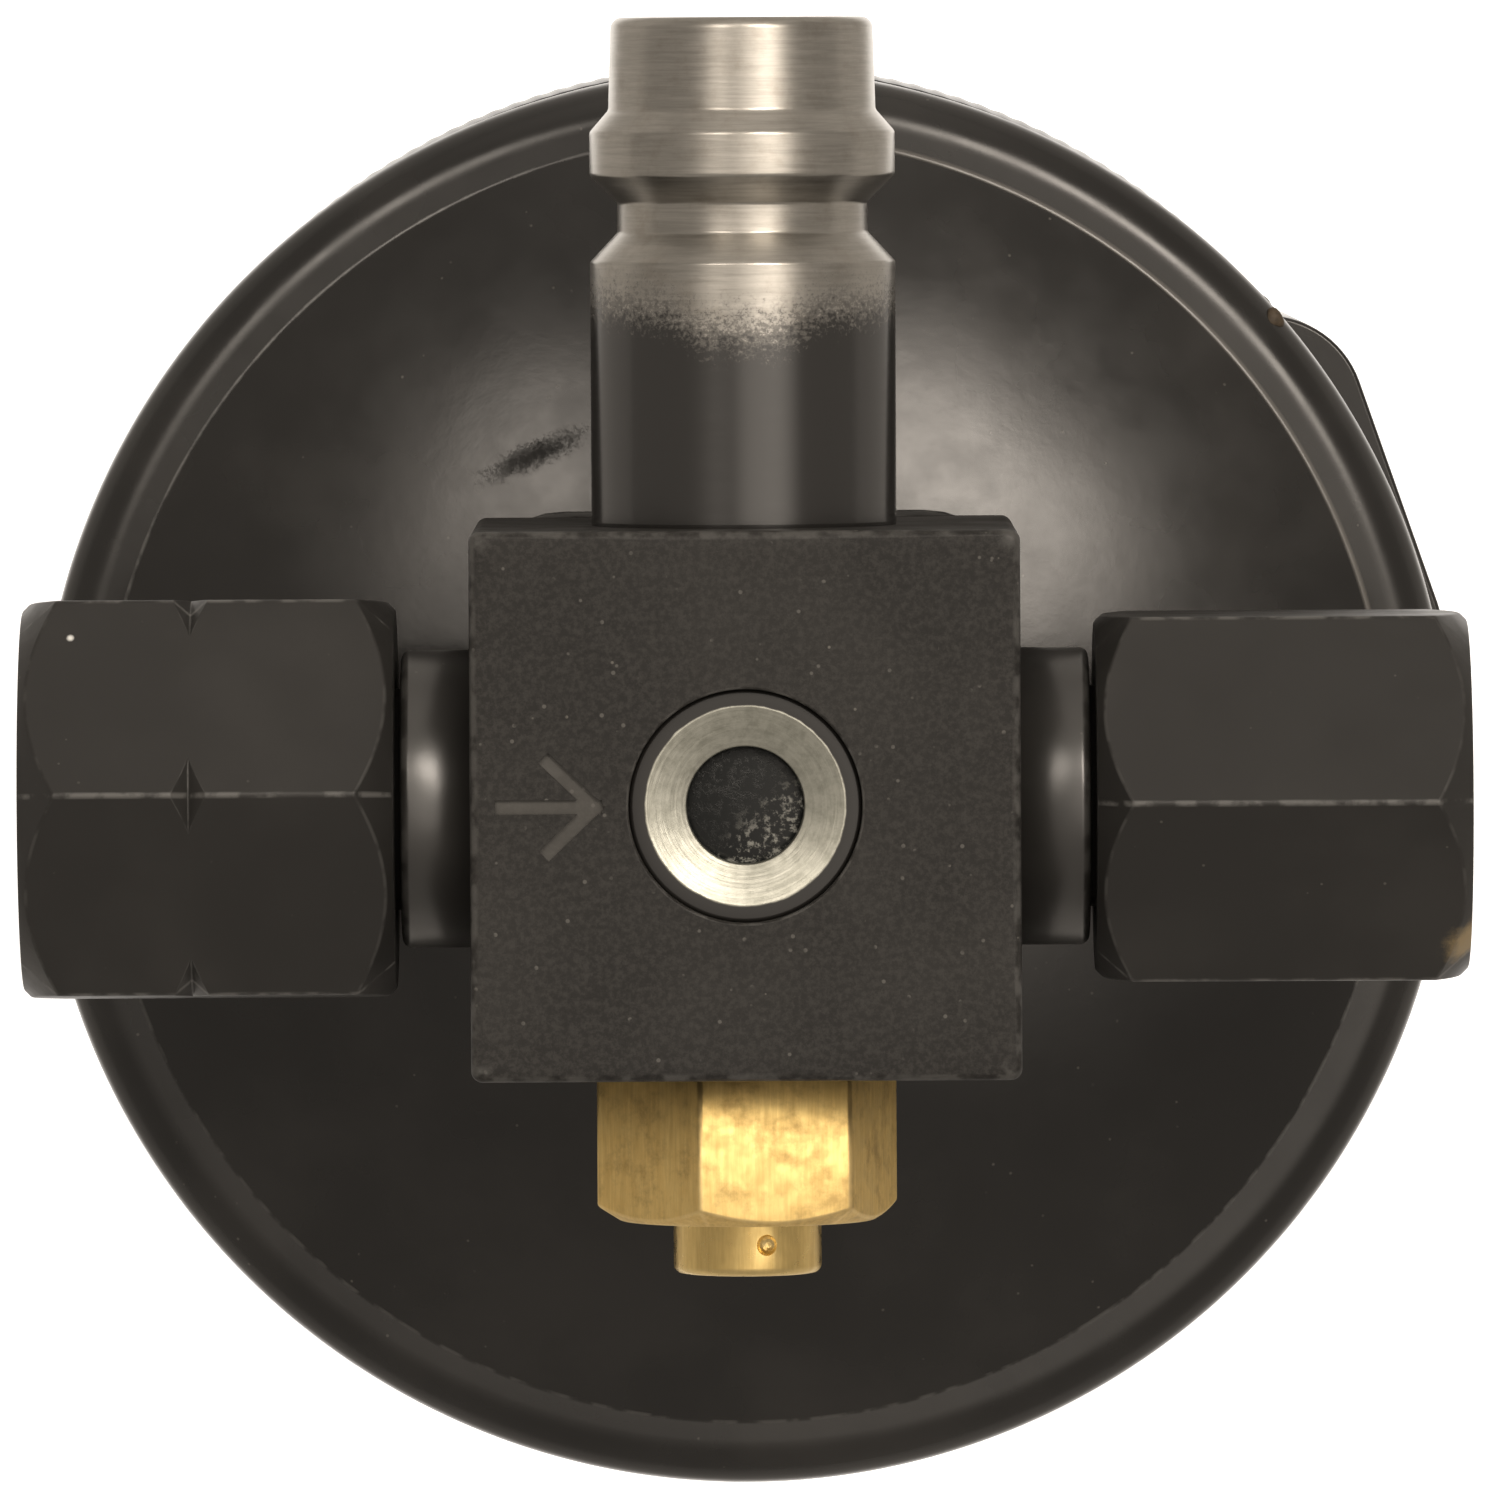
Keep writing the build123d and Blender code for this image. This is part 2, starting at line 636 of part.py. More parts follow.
def sight_glass_lens():
    top = GLASS_RING_TOP - CONE_DEPTH - LENS_LIP
    return rod(LENS_R, top - LENS_T, top)


def sight_glass_o_ring():
    return o_ring(GLASS_BORE_R - SCREW_GAP - GLASS_SEAL_R, GLASS_SEAL_R, GLASS_SEAL_Z)


# ---------------------------------------------------------------- inside the can
def pickup_tube():
    return ring(TUBE_R, TUBE_R - TUBE_WALL, TUBE_LOW, TUBE_HIGH)


def pickup_strainer():
    """Screen cup round the foot of the pickup tube."""
    low, high, floor = STRAINER_LOW, STRAINER_HIGH, STRAINER_LOW + SCREEN_T
    inner = TUBE_R + SCREW_GAP
    outer_side = [(0, low), (STRAINER_R, low), (STRAINER_R, high)]
    return turned([*outer_side, (inner, high), (inner, floor), (0, floor)])


def perforated(plate, low, high):
    """Cuts the rings of holes through a plate."""
    for radius, count in HOLE_RINGS.items():
        plate -= PolarLocations(radius, count) * rod(HOLE_R, low - 1, high + 1)
    return plate


def lower_plate():
    """Perforated cup that stands on its skirt and carries the bed."""
    top = SUPPORT_Z
    inner, hole_r = INSERT_R - PLATE_T, STRAINER_R + TUBE_PLAY
    cup = turned(
        [
            (hole_r, top - PLATE_T),
            (inner, top - PLATE_T),
            (inner, SKIRT_LOW),
            (INSERT_R, SKIRT_LOW),
            (INSERT_R, top),
            (hole_r, top),
        ]
    )
    return perforated(cup, top - PLATE_T, top)


def bed_layer(low, thickness):
    return ring(INSERT_R, TUBE_R + TUBE_PLAY, low, low + thickness)


def upper_plate():
    """Perforated disc with an upturned rim, pressed down by the bed spring."""
    low = SUPPORT_Z + 2 * FELT_T + BED_L
    dish = turned(
        [
            (TUBE_R + TUBE_PLAY, low),
            (INSERT_R, low),
            (INSERT_R, low + UPPER_SKIRT_L),
            (INSERT_R - PLATE_T, low + UPPER_SKIRT_L),
            (INSERT_R - PLATE_T, low + PLATE_T),
            (TUBE_R + TUBE_PLAY, low + PLATE_T),
        ]
    )
    return perforated(dish, low, low + PLATE_T)


def bed_spring():
    low = SUPPORT_Z + 2 * FELT_T + BED_L + PLATE_T
    high = SEAT_Z - WALL
    return coil(BED_SPRING_R, BED_SPRING_WIRE, low + SCREW_GAP, high - SCREW_GAP, BED_SPRING_TURNS)


# ---------------------------------------------------------------- every node
def all_nodes():
    bed_low = SUPPORT_Z + FELT_T
    return {
        "canister_body": canister_body(),
        "top_cap": top_cap(),
        "girth_weld": girth_weld(),
        "index_bracket": index_bracket(),
        "bracket_welds": bracket_welds(),
        "head_block": head_block(),
        "head_braze": head_braze(),
        "inlet_stub": TO_INLET * stub(),
        "inlet_o_ring": TO_INLET * pilot_o_ring(),
        "inlet_nut": TO_INLET * swivel_nut(INLET_AF, INLET_TURN, True),
        "outlet_stub": TO_OUTLET * stub(),
        "outlet_o_ring": TO_OUTLET * pilot_o_ring(),
        "outlet_nut": TO_OUTLET * swivel_nut(OUTLET_AF, 0, False),
        "service_port_body": TO_SERVICE * service_port_body(),
        "service_port_gasket": TO_SERVICE * service_port_gasket(),
        "valve_core_body": TO_SERVICE * valve_core_body(),
        "valve_core_seal": TO_SERVICE * valve_core_seal(),
        "valve_core_pin": TO_SERVICE * valve_core_pin(),
        "valve_pin_seal": TO_SERVICE * valve_pin_seal(),
        "valve_core_spring": TO_SERVICE * valve_core_spring(),
        "relief_body": TO_RELIEF * relief_body(),
        "relief_o_ring": TO_RELIEF * relief_o_ring(),
        "relief_poppet": TO_RELIEF * relief_poppet(),
        "relief_poppet_seal": TO_RELIEF * relief_poppet_seal(),
        "relief_spring": TO_RELIEF * relief_spring(),
        "relief_adjuster": TO_RELIEF * relief_adjuster(),
        "sight_glass_ring": sight_glass_ring(),
        "sight_glass_lens": sight_glass_lens(),
        "sight_glass_o_ring": sight_glass_o_ring(),
        "pickup_tube": pickup_tube(),
        "pickup_strainer": pickup_strainer(),
        "lower_plate": lower_plate(),
        "lower_felt": bed_layer(SUPPORT_Z, FELT_T),
        "desiccant_bed": bed_layer(bed_low, BED_L),
        "upper_felt": bed_layer(bed_low + BED_L, FELT_T),
        "upper_plate": upper_plate(),
        "bed_spring": bed_spring(),
    }


os.makedirs("parts", exist_ok=True)
for node, shape in all_nodes().items():
    export_step(shape, f"parts/{node}.step")
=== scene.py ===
import json
import math

import bmesh
import bpy
import numpy as np
from mathutils import Matrix, Vector


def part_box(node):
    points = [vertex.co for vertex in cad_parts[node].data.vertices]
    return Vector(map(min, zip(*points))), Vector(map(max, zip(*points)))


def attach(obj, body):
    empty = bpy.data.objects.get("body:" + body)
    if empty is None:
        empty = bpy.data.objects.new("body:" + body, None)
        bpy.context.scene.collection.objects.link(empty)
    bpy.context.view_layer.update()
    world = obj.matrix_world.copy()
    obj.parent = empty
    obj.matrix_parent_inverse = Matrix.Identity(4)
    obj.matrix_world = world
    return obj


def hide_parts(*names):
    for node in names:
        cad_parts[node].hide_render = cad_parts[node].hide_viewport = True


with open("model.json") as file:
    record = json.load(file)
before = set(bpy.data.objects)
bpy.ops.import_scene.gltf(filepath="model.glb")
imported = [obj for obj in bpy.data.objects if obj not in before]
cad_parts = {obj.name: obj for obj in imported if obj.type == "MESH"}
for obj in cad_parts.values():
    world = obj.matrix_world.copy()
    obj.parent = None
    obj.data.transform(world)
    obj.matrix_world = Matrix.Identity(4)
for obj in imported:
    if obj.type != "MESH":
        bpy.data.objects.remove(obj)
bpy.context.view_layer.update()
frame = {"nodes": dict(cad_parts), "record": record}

MM = 0.001


# ---------------------------------------------------------------- places and sizes, from the frame
def span(node, axis):
    """Lowest and highest coordinate of a CAD node along one axis, in millimetres."""
    low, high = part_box(node)
    return low[axis] / MM, high[axis] / MM


X, Y, Z = 0, 1, 2
CAN_R = span("top_cap", X)[1]
WELD_Z, SEAT_Z = span("top_cap", Z)
BLOCK_LOW, BLOCK_TOP = span("head_block", Z)
FACE = span("head_block", X)[1]
PORT_R = (span("service_port_body", Z)[1] - span("service_port_body", Z)[0]) / 2
PORT_Z = span("service_port_body", Z)[0] + PORT_R
PORT_TIP = span("service_port_body", Y)[1]
NUT_OUT, NUT_IN = -span("inlet_nut", X)[0], -span("inlet_nut", X)[1]
STUB_R = (span("inlet_stub", Z)[1] - span("inlet_stub", Z)[0]) / 2
STUB_TIP = -span("inlet_stub", X)[0]
INLET_CORNER_R = 20.64 / math.sqrt(3)  # the notch lowers the node's own corners
OUTLET_CORNER_R = (span("outlet_nut", Z)[1] - span("outlet_nut", Z)[0]) / 2
RELIEF_TIP = -span("relief_body", Y)[0]
RING_TOP = span("sight_glass_ring", Z)[1]
RING_R = span("sight_glass_ring", X)[1]
LENS_TOP = span("sight_glass_lens", Z)[1]
LENS_R = span("sight_glass_lens", X)[1]


# ---------------------------------------------------------------- mesh helpers
def towards(direction):
    """Local frame on a side fitting's axis: +Z along the fitting, +X upwards."""
    z = Vector(direction)
    x = Vector((0, 0, 1))
    y = z.cross(x)
    turn = Matrix((x, y, z)).transposed().to_4x4()
    return Matrix.Translation((0, 0, PORT_Z)) @ turn


TO_INLET = towards((-1, 0, 0))
TO_OUTLET = towards((1, 0, 0))
TO_SERVICE = towards((0, 1, 0))
TO_RELIEF = towards((0, -1, 0))
UPRIGHT = Matrix.Identity(4)


def rounded(corners, closed=True, steps=4):
    """Outline with its corners rounded. Corners are (radius, height, fillet).

    Gives (radius, height, edge), where edge is 1 on a rounded corner and 0 on a face. A corner with a
    fillet always gives steps + 1 points, so that outlines of one shape match point for point.
    """
    points = []
    count = len(corners)
    for i, (r, h, fillet) in enumerate(corners):
        if fillet <= 0 or (not closed and i in (0, count - 1)):
            points.append((r, h, 0.0))
            continue
        here = np.array((r, h), float)
        before = np.array(corners[i - 1][:2], float) - here
        after = np.array(corners[(i + 1) % count][:2], float) - here
        reach_a, reach_b = np.linalg.norm(before), np.linalg.norm(after)
        before, after = before / max(reach_a, 1e-9), after / max(reach_b, 1e-9)
        half = math.acos(max(-1, min(1, float(before @ after)))) / 2
        tangent = min(fillet / max(math.tan(half), 1e-6), 0.45 * reach_a, 0.45 * reach_b)
        start, end = here + before * tangent, here + after * tangent
        for k in range(steps + 1):
            t = k / steps
            # a quadratic curve with its middle pulled in follows the fillet's arc closely
            weight = math.sin(half)
            a, b, c = (1 - t) ** 2, 2 * t * (1 - t) * weight, t * t
            point = (a * start + b * here + c * end) / (a + b + c)
            points.append((point[0], point[1], 1.0 - abs(2 * t - 1) ** 2))
    return points


def finish_mesh(name, bm, place, material, body, smooth_angle=None):
    bmesh.ops.remove_doubles(bm, verts=bm.verts, dist=1e-4)
    bmesh.ops.dissolve_degenerate(bm, edges=bm.edges, dist=1e-5)
    bmesh.ops.recalc_face_normals(bm, faces=bm.faces)
    bmesh.ops.transform(bm, matrix=Matrix.Scale(MM, 4) @ place, verts=bm.verts)
    mesh = bpy.data.meshes.new(name)
    bm.to_mesh(mesh)
    bm.free()
    mesh.shade_smooth()
    if smooth_angle:
        mesh.set_sharp_from_angle(angle=math.radians(smooth_angle))
    piece = bpy.data.objects.new(name, mesh)
    bpy.context.scene.collection.objects.link(piece)
    mesh.materials.append(material)
    weighted = piece.modifiers.new("weighted", "WEIGHTED_NORMAL")
    weighted.keep_sharp = True
    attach(piece, body)
    return piece


def polar(name, column, angles, place, material, body, closed=True, smooth_angle=None):
    """Skin whose outline turns about local Z. column(angle) gives the outline at that angle."""
    bm = bmesh.new()
    wear = bm.verts.layers.float.new("wear")
    grid = []
    for angle in angles:
        cos, sin = math.cos(angle), math.sin(angle)
        line = []
        for r, h, edge in column(angle):
            vert = bm.verts.new((r * cos, r * sin, h))
            vert[wear] = edge
            line.append(vert)
        grid.append(line)
    rows = len(grid[0])
    for i, line in enumerate(grid):
        following = grid[(i + 1) % len(grid)]
        for j in range(rows if closed else rows - 1):
            k = (j + 1) % rows
            bm.faces.new((line[j], following[j], following[k], line[k]))
    return finish_mesh(name, bm, place, material, body, smooth_angle)


def carve(piece, cutter_mesh):
    """Cuts a closed mesh out of a piece."""
    cutter = bpy.data.objects.new("cutter", cutter_mesh)
    bpy.context.scene.collection.objects.link(cutter)
    cut = piece.modifiers.new("cut", "BOOLEAN")
    cut.operation, cut.solver, cut.use_self, cut.object = "DIFFERENCE", "EXACT", True, cutter
    piece.modifiers.move(len(piece.modifiers) - 1, 0)
    cut_mesh = bpy.data.meshes.new_from_object(piece.evaluated_get(bpy.context.evaluated_depsgraph_get()))
    cut_mesh.name = piece.name
    piece.modifiers.clear()
    piece.data = cut_mesh
    bpy.data.objects.remove(cutter)


def punches(points, radius):
    """Small balls that press round punch marks."""
    bm = bmesh.new()
    for x, y, z in points:
        place = Matrix.Translation(Vector((x, y, z)) * MM)
        bmesh.ops.create_uvsphere(bm, u_segments=20, v_segments=12, radius=radius * MM, matrix=place)
    mesh = bpy.data.meshes.new("punches")
    bm.to_mesh(mesh)
    bm.free()
    return mesh


def stroke(bm, start, end, width, low, high):
    """Upright bar between two points, for a stamped line."""
    start, end = Vector(start), Vector(end)
    side = (end - start).orthogonal().normalized() * width / 2
    along = (end - start).normalized() * width / 2
    corners = [start - along - side, end + along - side, end + along + side, start - along + side]
    floor = [bm.verts.new((c.x * MM, c.y * MM, low * MM)) for c in corners]
    roof = [bm.verts.new((c.x * MM, c.y * MM, high * MM)) for c in corners]
    bm.faces.new(floor[::-1])
    bm.faces.new(roof)
    for i in range(4):
        j = (i + 1) % 4
        bm.faces.new((floor[i], floor[j], roof[j], roof[i]))


def even_angles(count):
    return [2 * math.pi * i / count for i in range(count)]


def lathe(name, corners, place, material, body, segments=160, closed=True, steps=4):
    outline = rounded(corners, closed, steps)
    return polar(name, lambda angle: outline, even_angles(segments), place, material, body, closed)


def polygon_radius(angle, apothem, sides, fillet, turn):
    """Distance from the axis to a regular polygon with rounded corners, and how near a corner it is."""
    step = 2 * math.pi / sides
    off_corner = (angle - turn + step / 2) % step - step / 2
    centre = (apothem - fillet) / math.cos(step / 2)
    limit = math.atan2(fillet * math.sin(step / 2), centre + fillet * math.cos(step / 2))
    if abs(off_corner) < limit:
        reach = centre * math.cos(off_corner)
        reach += math.sqrt(fillet**2 - (centre * math.sin(off_corner)) ** 2)
        return reach, 1 - (off_corner / limit) ** 2
    return apothem / math.cos(step / 2 - abs(off_corner)), 0.0


CORNER_STEPS = 4


def polygon_angles(apothem, sides, fillet, turn, per_side):
    """Angles that put columns on each rounded corner and evenly along each flat."""
    step = 2 * math.pi / sides
    centre = (apothem - fillet) / math.cos(step / 2)
    limit = math.atan2(fillet * math.sin(step / 2), centre + fillet * math.cos(step / 2))
    angles = []
    for side in range(sides):
        corner = turn + side * step
        angles += [corner + limit * k / CORNER_STEPS for k in range(-CORNER_STEPS, CORNER_STEPS + 1)]
        flat = step - 2 * limit
        angles += [corner + limit + flat * k / per_side for k in range(1, per_side)]
    return sorted(a % (2 * math.pi) for a in angles)


# ---------------------------------------------------------------- materials
WARM_GREY = (1.05, 1.0, 0.93)
BLACK_PAINT = (0.014, 0.013, 0.012)


class Nodes:
    """Small builder for a node tree."""

    def __init__(self, tree, coordinates):
        self.tree = tree
        self.position = self.node("ShaderNodeTexCoord").outputs[coordinates]

    def node(self, kind, **settings):
        made = self.tree.nodes.new(kind)
        for key, value in settings.items():
            setattr(made, key, value)
        return made

    def link(self, source, target):
        self.tree.links.new(source, target)

    def feed(self, socket, value):
        if isinstance(value, bpy.types.NodeSocket):
            self.link(value, socket)
        else:
            socket.default_value = value

    def math(self, operation, a, b=0.0, c=0.0, clamp=False):
        made = self.node("ShaderNodeMath", operation=operation, use_clamp=clamp)
        for socket, value in zip(made.inputs, (a, b, c)):
            self.feed(socket, value)
        return made.outputs[0]

    def ramp(self, value, low, high, out_low=0.0, out_high=1.0):
        """Smooth step from out_low at low to out_high at high."""
        made = self.node("ShaderNodeMapRange", interpolation_type="SMOOTHSTEP")
        for socket, given in zip(made.inputs, (value, low, high, out_low, out_high)):
            self.feed(socket, given)
        return made.outputs[0]


class Shader(Nodes):
    """A material around one Principled shader."""

    def __init__(self, name, **sockets):
        self.material = bpy.data.materials.new(name)
        self.material.use_nodes = True
        super().__init__(self.material.node_tree, "Object")
        self.principled = self.tree.nodes["Principled BSDF"]
        for key, value in sockets.items():
            self.principled.inputs[key.replace("_", " ")].default_value = value

    def scaled(self, factors):
        """Position in millimetres times a factor on each axis."""
        made = self.node("ShaderNodeVectorMath", operation="MULTIPLY")
        self.link(self.position, made.inputs[0])
        made.inputs[1].default_value = [f / MM for f in factors]
        return made.outputs[0]

    def noise(self, factors=(1, 1, 1), scale=1.0, detail=3.0, roughness=0.5):
        made = self.node("ShaderNodeTexNoise")
        self.link(self.scaled(factors), made.inputs["Vector"])
        made.inputs["Scale"].default_value = scale
        made.inputs["Detail"].default_value = detail
        made.inputs["Roughness"].default_value = roughness
        return made.outputs["Fac"]

    def specks(self, scale, size, factors=(1, 1, 1)):
        """1 on small scattered dots."""
        made = self.node("ShaderNodeTexVoronoi")
        self.link(self.scaled(factors), made.inputs["Vector"])
        made.inputs["Scale"].default_value = scale
        return self.ramp(made.outputs["Distance"], size, size * 0.6)

    def near(self, point, inner, outer):
        """1 within inner of a point in millimetres, 0 beyond outer, ragged in between."""
        distance = self.node("ShaderNodeVectorMath", operation="DISTANCE")
        self.link(self.scaled((1, 1, 1)), distance.inputs[0])
        distance.inputs[1].default_value = point
        ragged = self.math("MULTIPLY", self.noise(scale=1.6, detail=5, roughness=0.8), outer - inner)
        reach = self.math("ADD", distance.outputs["Value"], ragged)
        return self.ramp(reach, outer, inner)

    def mix(self, factor, a, b):
        made = self.node("ShaderNodeMix", data_type="RGBA")
        self.feed(made.inputs["Factor"], factor)
        for socket, value in ((made.inputs[6], a), (made.inputs[7], b)):
            self.feed(socket, value if isinstance(value, bpy.types.NodeSocket) else (*value, 1))
        return made.outputs[2]

    def attribute(self, name):
        return self.node("ShaderNodeAttribute", attribute_name=name).outputs["Fac"]

    def axis(self, index):
        """One coordinate in millimetres."""
        made = self.node("ShaderNodeSeparateXYZ")
        self.link(self.scaled((1, 1, 1)), made.inputs[0])
        return made.outputs[index]

    def from_axis(self):
        """Distance from the can's axis in millimetres."""
        made = self.node("ShaderNodeVectorMath", operation="LENGTH")
        self.link(self.scaled((1, 1, 0)), made.inputs[0])
        return made.outputs["Value"]

    def bump(self, height, strength, distance, normal=None):
        made = self.node("ShaderNodeBump")
        made.inputs["Strength"].default_value = strength
        made.inputs["Distance"].default_value = distance * MM
        self.link(height, made.inputs["Height"])
        if normal is not None:
            self.link(normal, made.inputs["Normal"])
        return made.outputs["Normal"]

    def turned_about(self, axis, strength):
        """Grooves that run around one axis stretch every highlight along that axis."""
        tangent = self.node("ShaderNodeTangent", direction_type="RADIAL", axis=axis)
        self.link(tangent.outputs[0], self.principled.inputs["Tangent"])
        self.principled.inputs["Anisotropic"].default_value = strength
        self.principled.inputs["Anisotropic Rotation"].default_value = 0.25

    def finish(self, color=None, roughness=None, normal=None, metallic=None):
        given = {"Base Color": color, "Roughness": roughness, "Normal": normal, "Metallic": metallic}
        for key, value in given.items():
            if value is not None:
                self.feed(self.principled.inputs[key], value)
        return self.material


def scuff(s):
    """A dry black rub on the dome between the inlet and the service port."""
    rub = s.node("ShaderNodeMapping", vector_type="TEXTURE")
    s.link(s.scaled((1, 1, 1)), rub.inputs["Vector"])
    rub.inputs["Location"].default_value = (-11.2, 17.6, SEAT_Z)
    rub.inputs["Rotation"].default_value = (0, 0, math.radians(24))
    rub.inputs["Scale"].default_value = (3.4, 0.85, 20)
    reach = s.node("ShaderNodeVectorMath", operation="LENGTH")
    s.link(rub.outputs[0], reach.inputs[0])
    broken = s.math("MULTIPLY", s.noise(scale=3.2, detail=6, roughness=1.0), 3.2)
    return s.ramp(s.math("ADD", reach.outputs["Value"], broken), 2.6, 1.7)


def pale_mark_floor(s):
    """Paler colour on the floor of the mark stamped into the block's top."""
    deep = s.ramp(s.axis(Z), BLOCK_TOP - 0.12, BLOCK_TOP - 0.25)
    widest = s.math("MAXIMUM", s.math("ABSOLUTE", s.axis(X)), s.math("ABSOLUTE", s.axis(Y)))
    return s.math("MULTIPLY", deep, s.ramp(widest, FACE - 0.8, FACE - 1.2))


def crease_highlight(s):
    """Painted highlight: a pale line along the crease on the side of the bracket."""
    off = s.math("ABSOLUTE", s.math("SUBTRACT", s.from_axis(), 34.7))
    side = s.ramp(s.math("ADD", s.axis(X), s.axis(Y)), 34, 43)
    above = s.ramp(s.axis(Z), SEAT_Z - 12, SEAT_Z - 11)
    return s.math("MULTIPLY", s.math("MULTIPLY", s.ramp(off, 0.22, 0.06), side), above)


def enamel(
    name,
    dark=0.012,
    dusty=0.020,
    rough=(0.28, 0.38),
    shine=0.5,
    wear_share=0.3,
    grain=0.2,
    flecks=0.3,
    grit=0.0,
    scuff_and_crease_highlight=False,
    spots=(),
):
    """Black paint: slight orange peel, soft dusty patches, pale specks and worn edges.

    grit adds the coarse grain, chips and stamped mark of the head block; the other flag adds the scuff of the
    can and a painted highlight along its crease.
    """
    s = Shader(name, Specular_IOR_Level=shine)
    patches = s.ramp(s.noise(scale=0.09, detail=5), 0.42, 0.68)
    color = s.mix(patches, [dark * c for c in WARM_GREY], [dusty * c for c in WARM_GREY])
    if grit:
        coarse = s.ramp(s.noise(scale=2.6, detail=4, roughness=0.8), 0.40, 0.66)
        color = s.mix(s.math("MULTIPLY", coarse, grit), color, [2.6 * dusty * c for c in WARM_GREY])
        chips = s.math("MULTIPLY", s.specks(1.1, 0.15), s.ramp(s.noise(scale=0.6, detail=3), 0.50, 0.58))
        color = s.mix(s.math("MULTIPLY", chips, 0.6), color, (0.14, 0.135, 0.125))
    dust = s.math("MULTIPLY", s.specks(0.9, 0.09), s.ramp(s.noise(scale=0.35, detail=2), 0.54, 0.62))
    color = s.mix(s.math("MULTIPLY", dust, flecks), color, (0.20, 0.19, 0.17))
    worn = s.math("MULTIPLY", s.attribute("wear"), s.ramp(s.noise(scale=0.8, detail=5), 0.42, 0.60))
    color = s.mix(s.math("MULTIPLY", worn, wear_share), color, (0.15, 0.148, 0.142))
    roughness = s.ramp(s.noise(scale=0.25, detail=5, roughness=0.65), 0.3, 0.7, *rough)
    peel = s.noise(scale=1.1, detail=3, roughness=0.6)
    fine = s.noise(scale=5.0, detail=3, roughness=0.7)
    height = s.math("ADD", s.math("MULTIPLY", fine, grain), peel)
    if scuff_and_crease_highlight:
        rub = scuff(s)
        roughness = s.math("ADD", roughness, s.math("MULTIPLY", rub, 0.3))
        dulled = s.math("SUBTRACT", shine, s.math("MULTIPLY", rub, shine * 0.6))
        s.link(dulled, s.principled.inputs["Specular IOR Level"])
        # painted highlight: a pale line along the dome's crease
        color = s.mix(s.math("MULTIPLY", crease_highlight(s), 0.6), color, (0.12, 0.112, 0.10))
    if grit:
        # paler colour on the floor of the stamped mark
        color = s.mix(s.math("MULTIPLY", pale_mark_floor(s), 0.45), color, (0.13, 0.125, 0.115))
    for point, reach, tint, share in spots:
        color = s.mix(s.math("MULTIPLY", s.near(point, reach * 0.5, reach), share), color, tint)
    return s.finish(color, roughness, s.bump(height, 0.30, 0.02))


def bare_steel_port():
    """Turned steel that fades under black overspray towards the block."""
    s = Shader("port_steel", Specular_IOR_Level=0.9)
    s.turned_about("Y", 0.5)
    across = s.math("ABSOLUTE", s.axis(X))
    along = s.math("ADD", s.axis(Y), s.ramp(across, 4.5, 1.5, 0.0, 1.4))
    speckle = s.noise(scale=3.4, detail=6, roughness=0.8)
    edge = s.math("ADD", along, s.math("MULTIPLY", s.math("SUBTRACT", speckle, 0.5), 8.0))
    paint = s.ramp(edge, PORT_TIP - 13.0, PORT_TIP - 16.4)
    lines = s.noise(factors=(0.05, 1, 0.05), scale=5.0, detail=4, roughness=0.7)
    steel = s.mix(s.ramp(lines, 0.3, 0.7), (0.37, 0.355, 0.325), (0.47, 0.45, 0.415))
    stains = s.ramp(s.noise(scale=0.5, detail=6, roughness=0.7), 0.45, 0.75)
    steel = s.mix(s.math("MULTIPLY", stains, 0.45), steel, (0.27, 0.24, 0.20))
    color = s.mix(paint, steel, BLACK_PAINT)
    roughness = s.ramp(paint, 0, 1, 0.32, 0.20)
    rough_lines = s.math("MULTIPLY", s.math("SUBTRACT", lines, 0.5), 0.16)
    metallic = s.math("SUBTRACT", 1.0, paint, clamp=True)
    turning = s.math("MULTIPLY", lines, metallic)
    return s.finish(color, s.math("ADD", roughness, rough_lines), s.bump(turning, 0.25, 0.02), metallic)


def brass():
    """Drawn hexagon brass: fine marks along the bar, tarnish and a few dark stains."""
    s = Shader("valve_brass", Metallic=1.0)
    marks = s.noise(factors=(1, 0.08, 1), scale=4.0, detail=5, roughness=0.7)
    color = s.mix(s.ramp(marks, 0.3, 0.75), (0.70, 0.50, 0.19), (0.84, 0.63, 0.26))
    tarnish = s.ramp(s.noise(scale=0.45, detail=6, roughness=0.7), 0.46, 0.72)
    hexagon = s.ramp(s.axis(Y), -RELIEF_TIP + 2.6, -RELIEF_TIP + 3.0, 0.1, 0.55)
    color = s.mix(s.math("MULTIPLY", tarnish, hexagon), color, (0.30, 0.19, 0.07))
    edges = s.math("MULTIPLY", s.attribute("wear"), 0.5)
    color = s.mix(edges, color, (0.92, 0.72, 0.36))
    duller = s.ramp(s.axis(Y), -RELIEF_TIP + 2.6, -RELIEF_TIP + 3.0, 0.0, 0.2)
    roughness = s.math("ADD", s.ramp(s.noise(scale=1.2, detail=4), 0.3, 0.7, 0.26, 0.40), duller)
    return s.finish(color, roughness, s.bump(marks, 0.35, 0.015))


def plated(name, color=(0.74, 0.75, 0.66), rough=0.34):
    """Zinc-plated turned steel with rings from the cutting tool."""
    s = Shader(name, Metallic=1.0)
    mottled = s.noise(scale=1.4, detail=6, roughness=0.7)
    shade = s.mix(s.ramp(mottled, 0.35, 0.7), color, [c * 0.72 for c in color])
    roughness = s.ramp(mottled, 0.3, 0.7, rough - 0.06, rough + 0.10)
    grooves = s.noise(factors=(0.15, 0.15, 1), scale=9.0, detail=3)
    return s.finish(shade, roughness, s.bump(grooves, 0.4, 0.02))


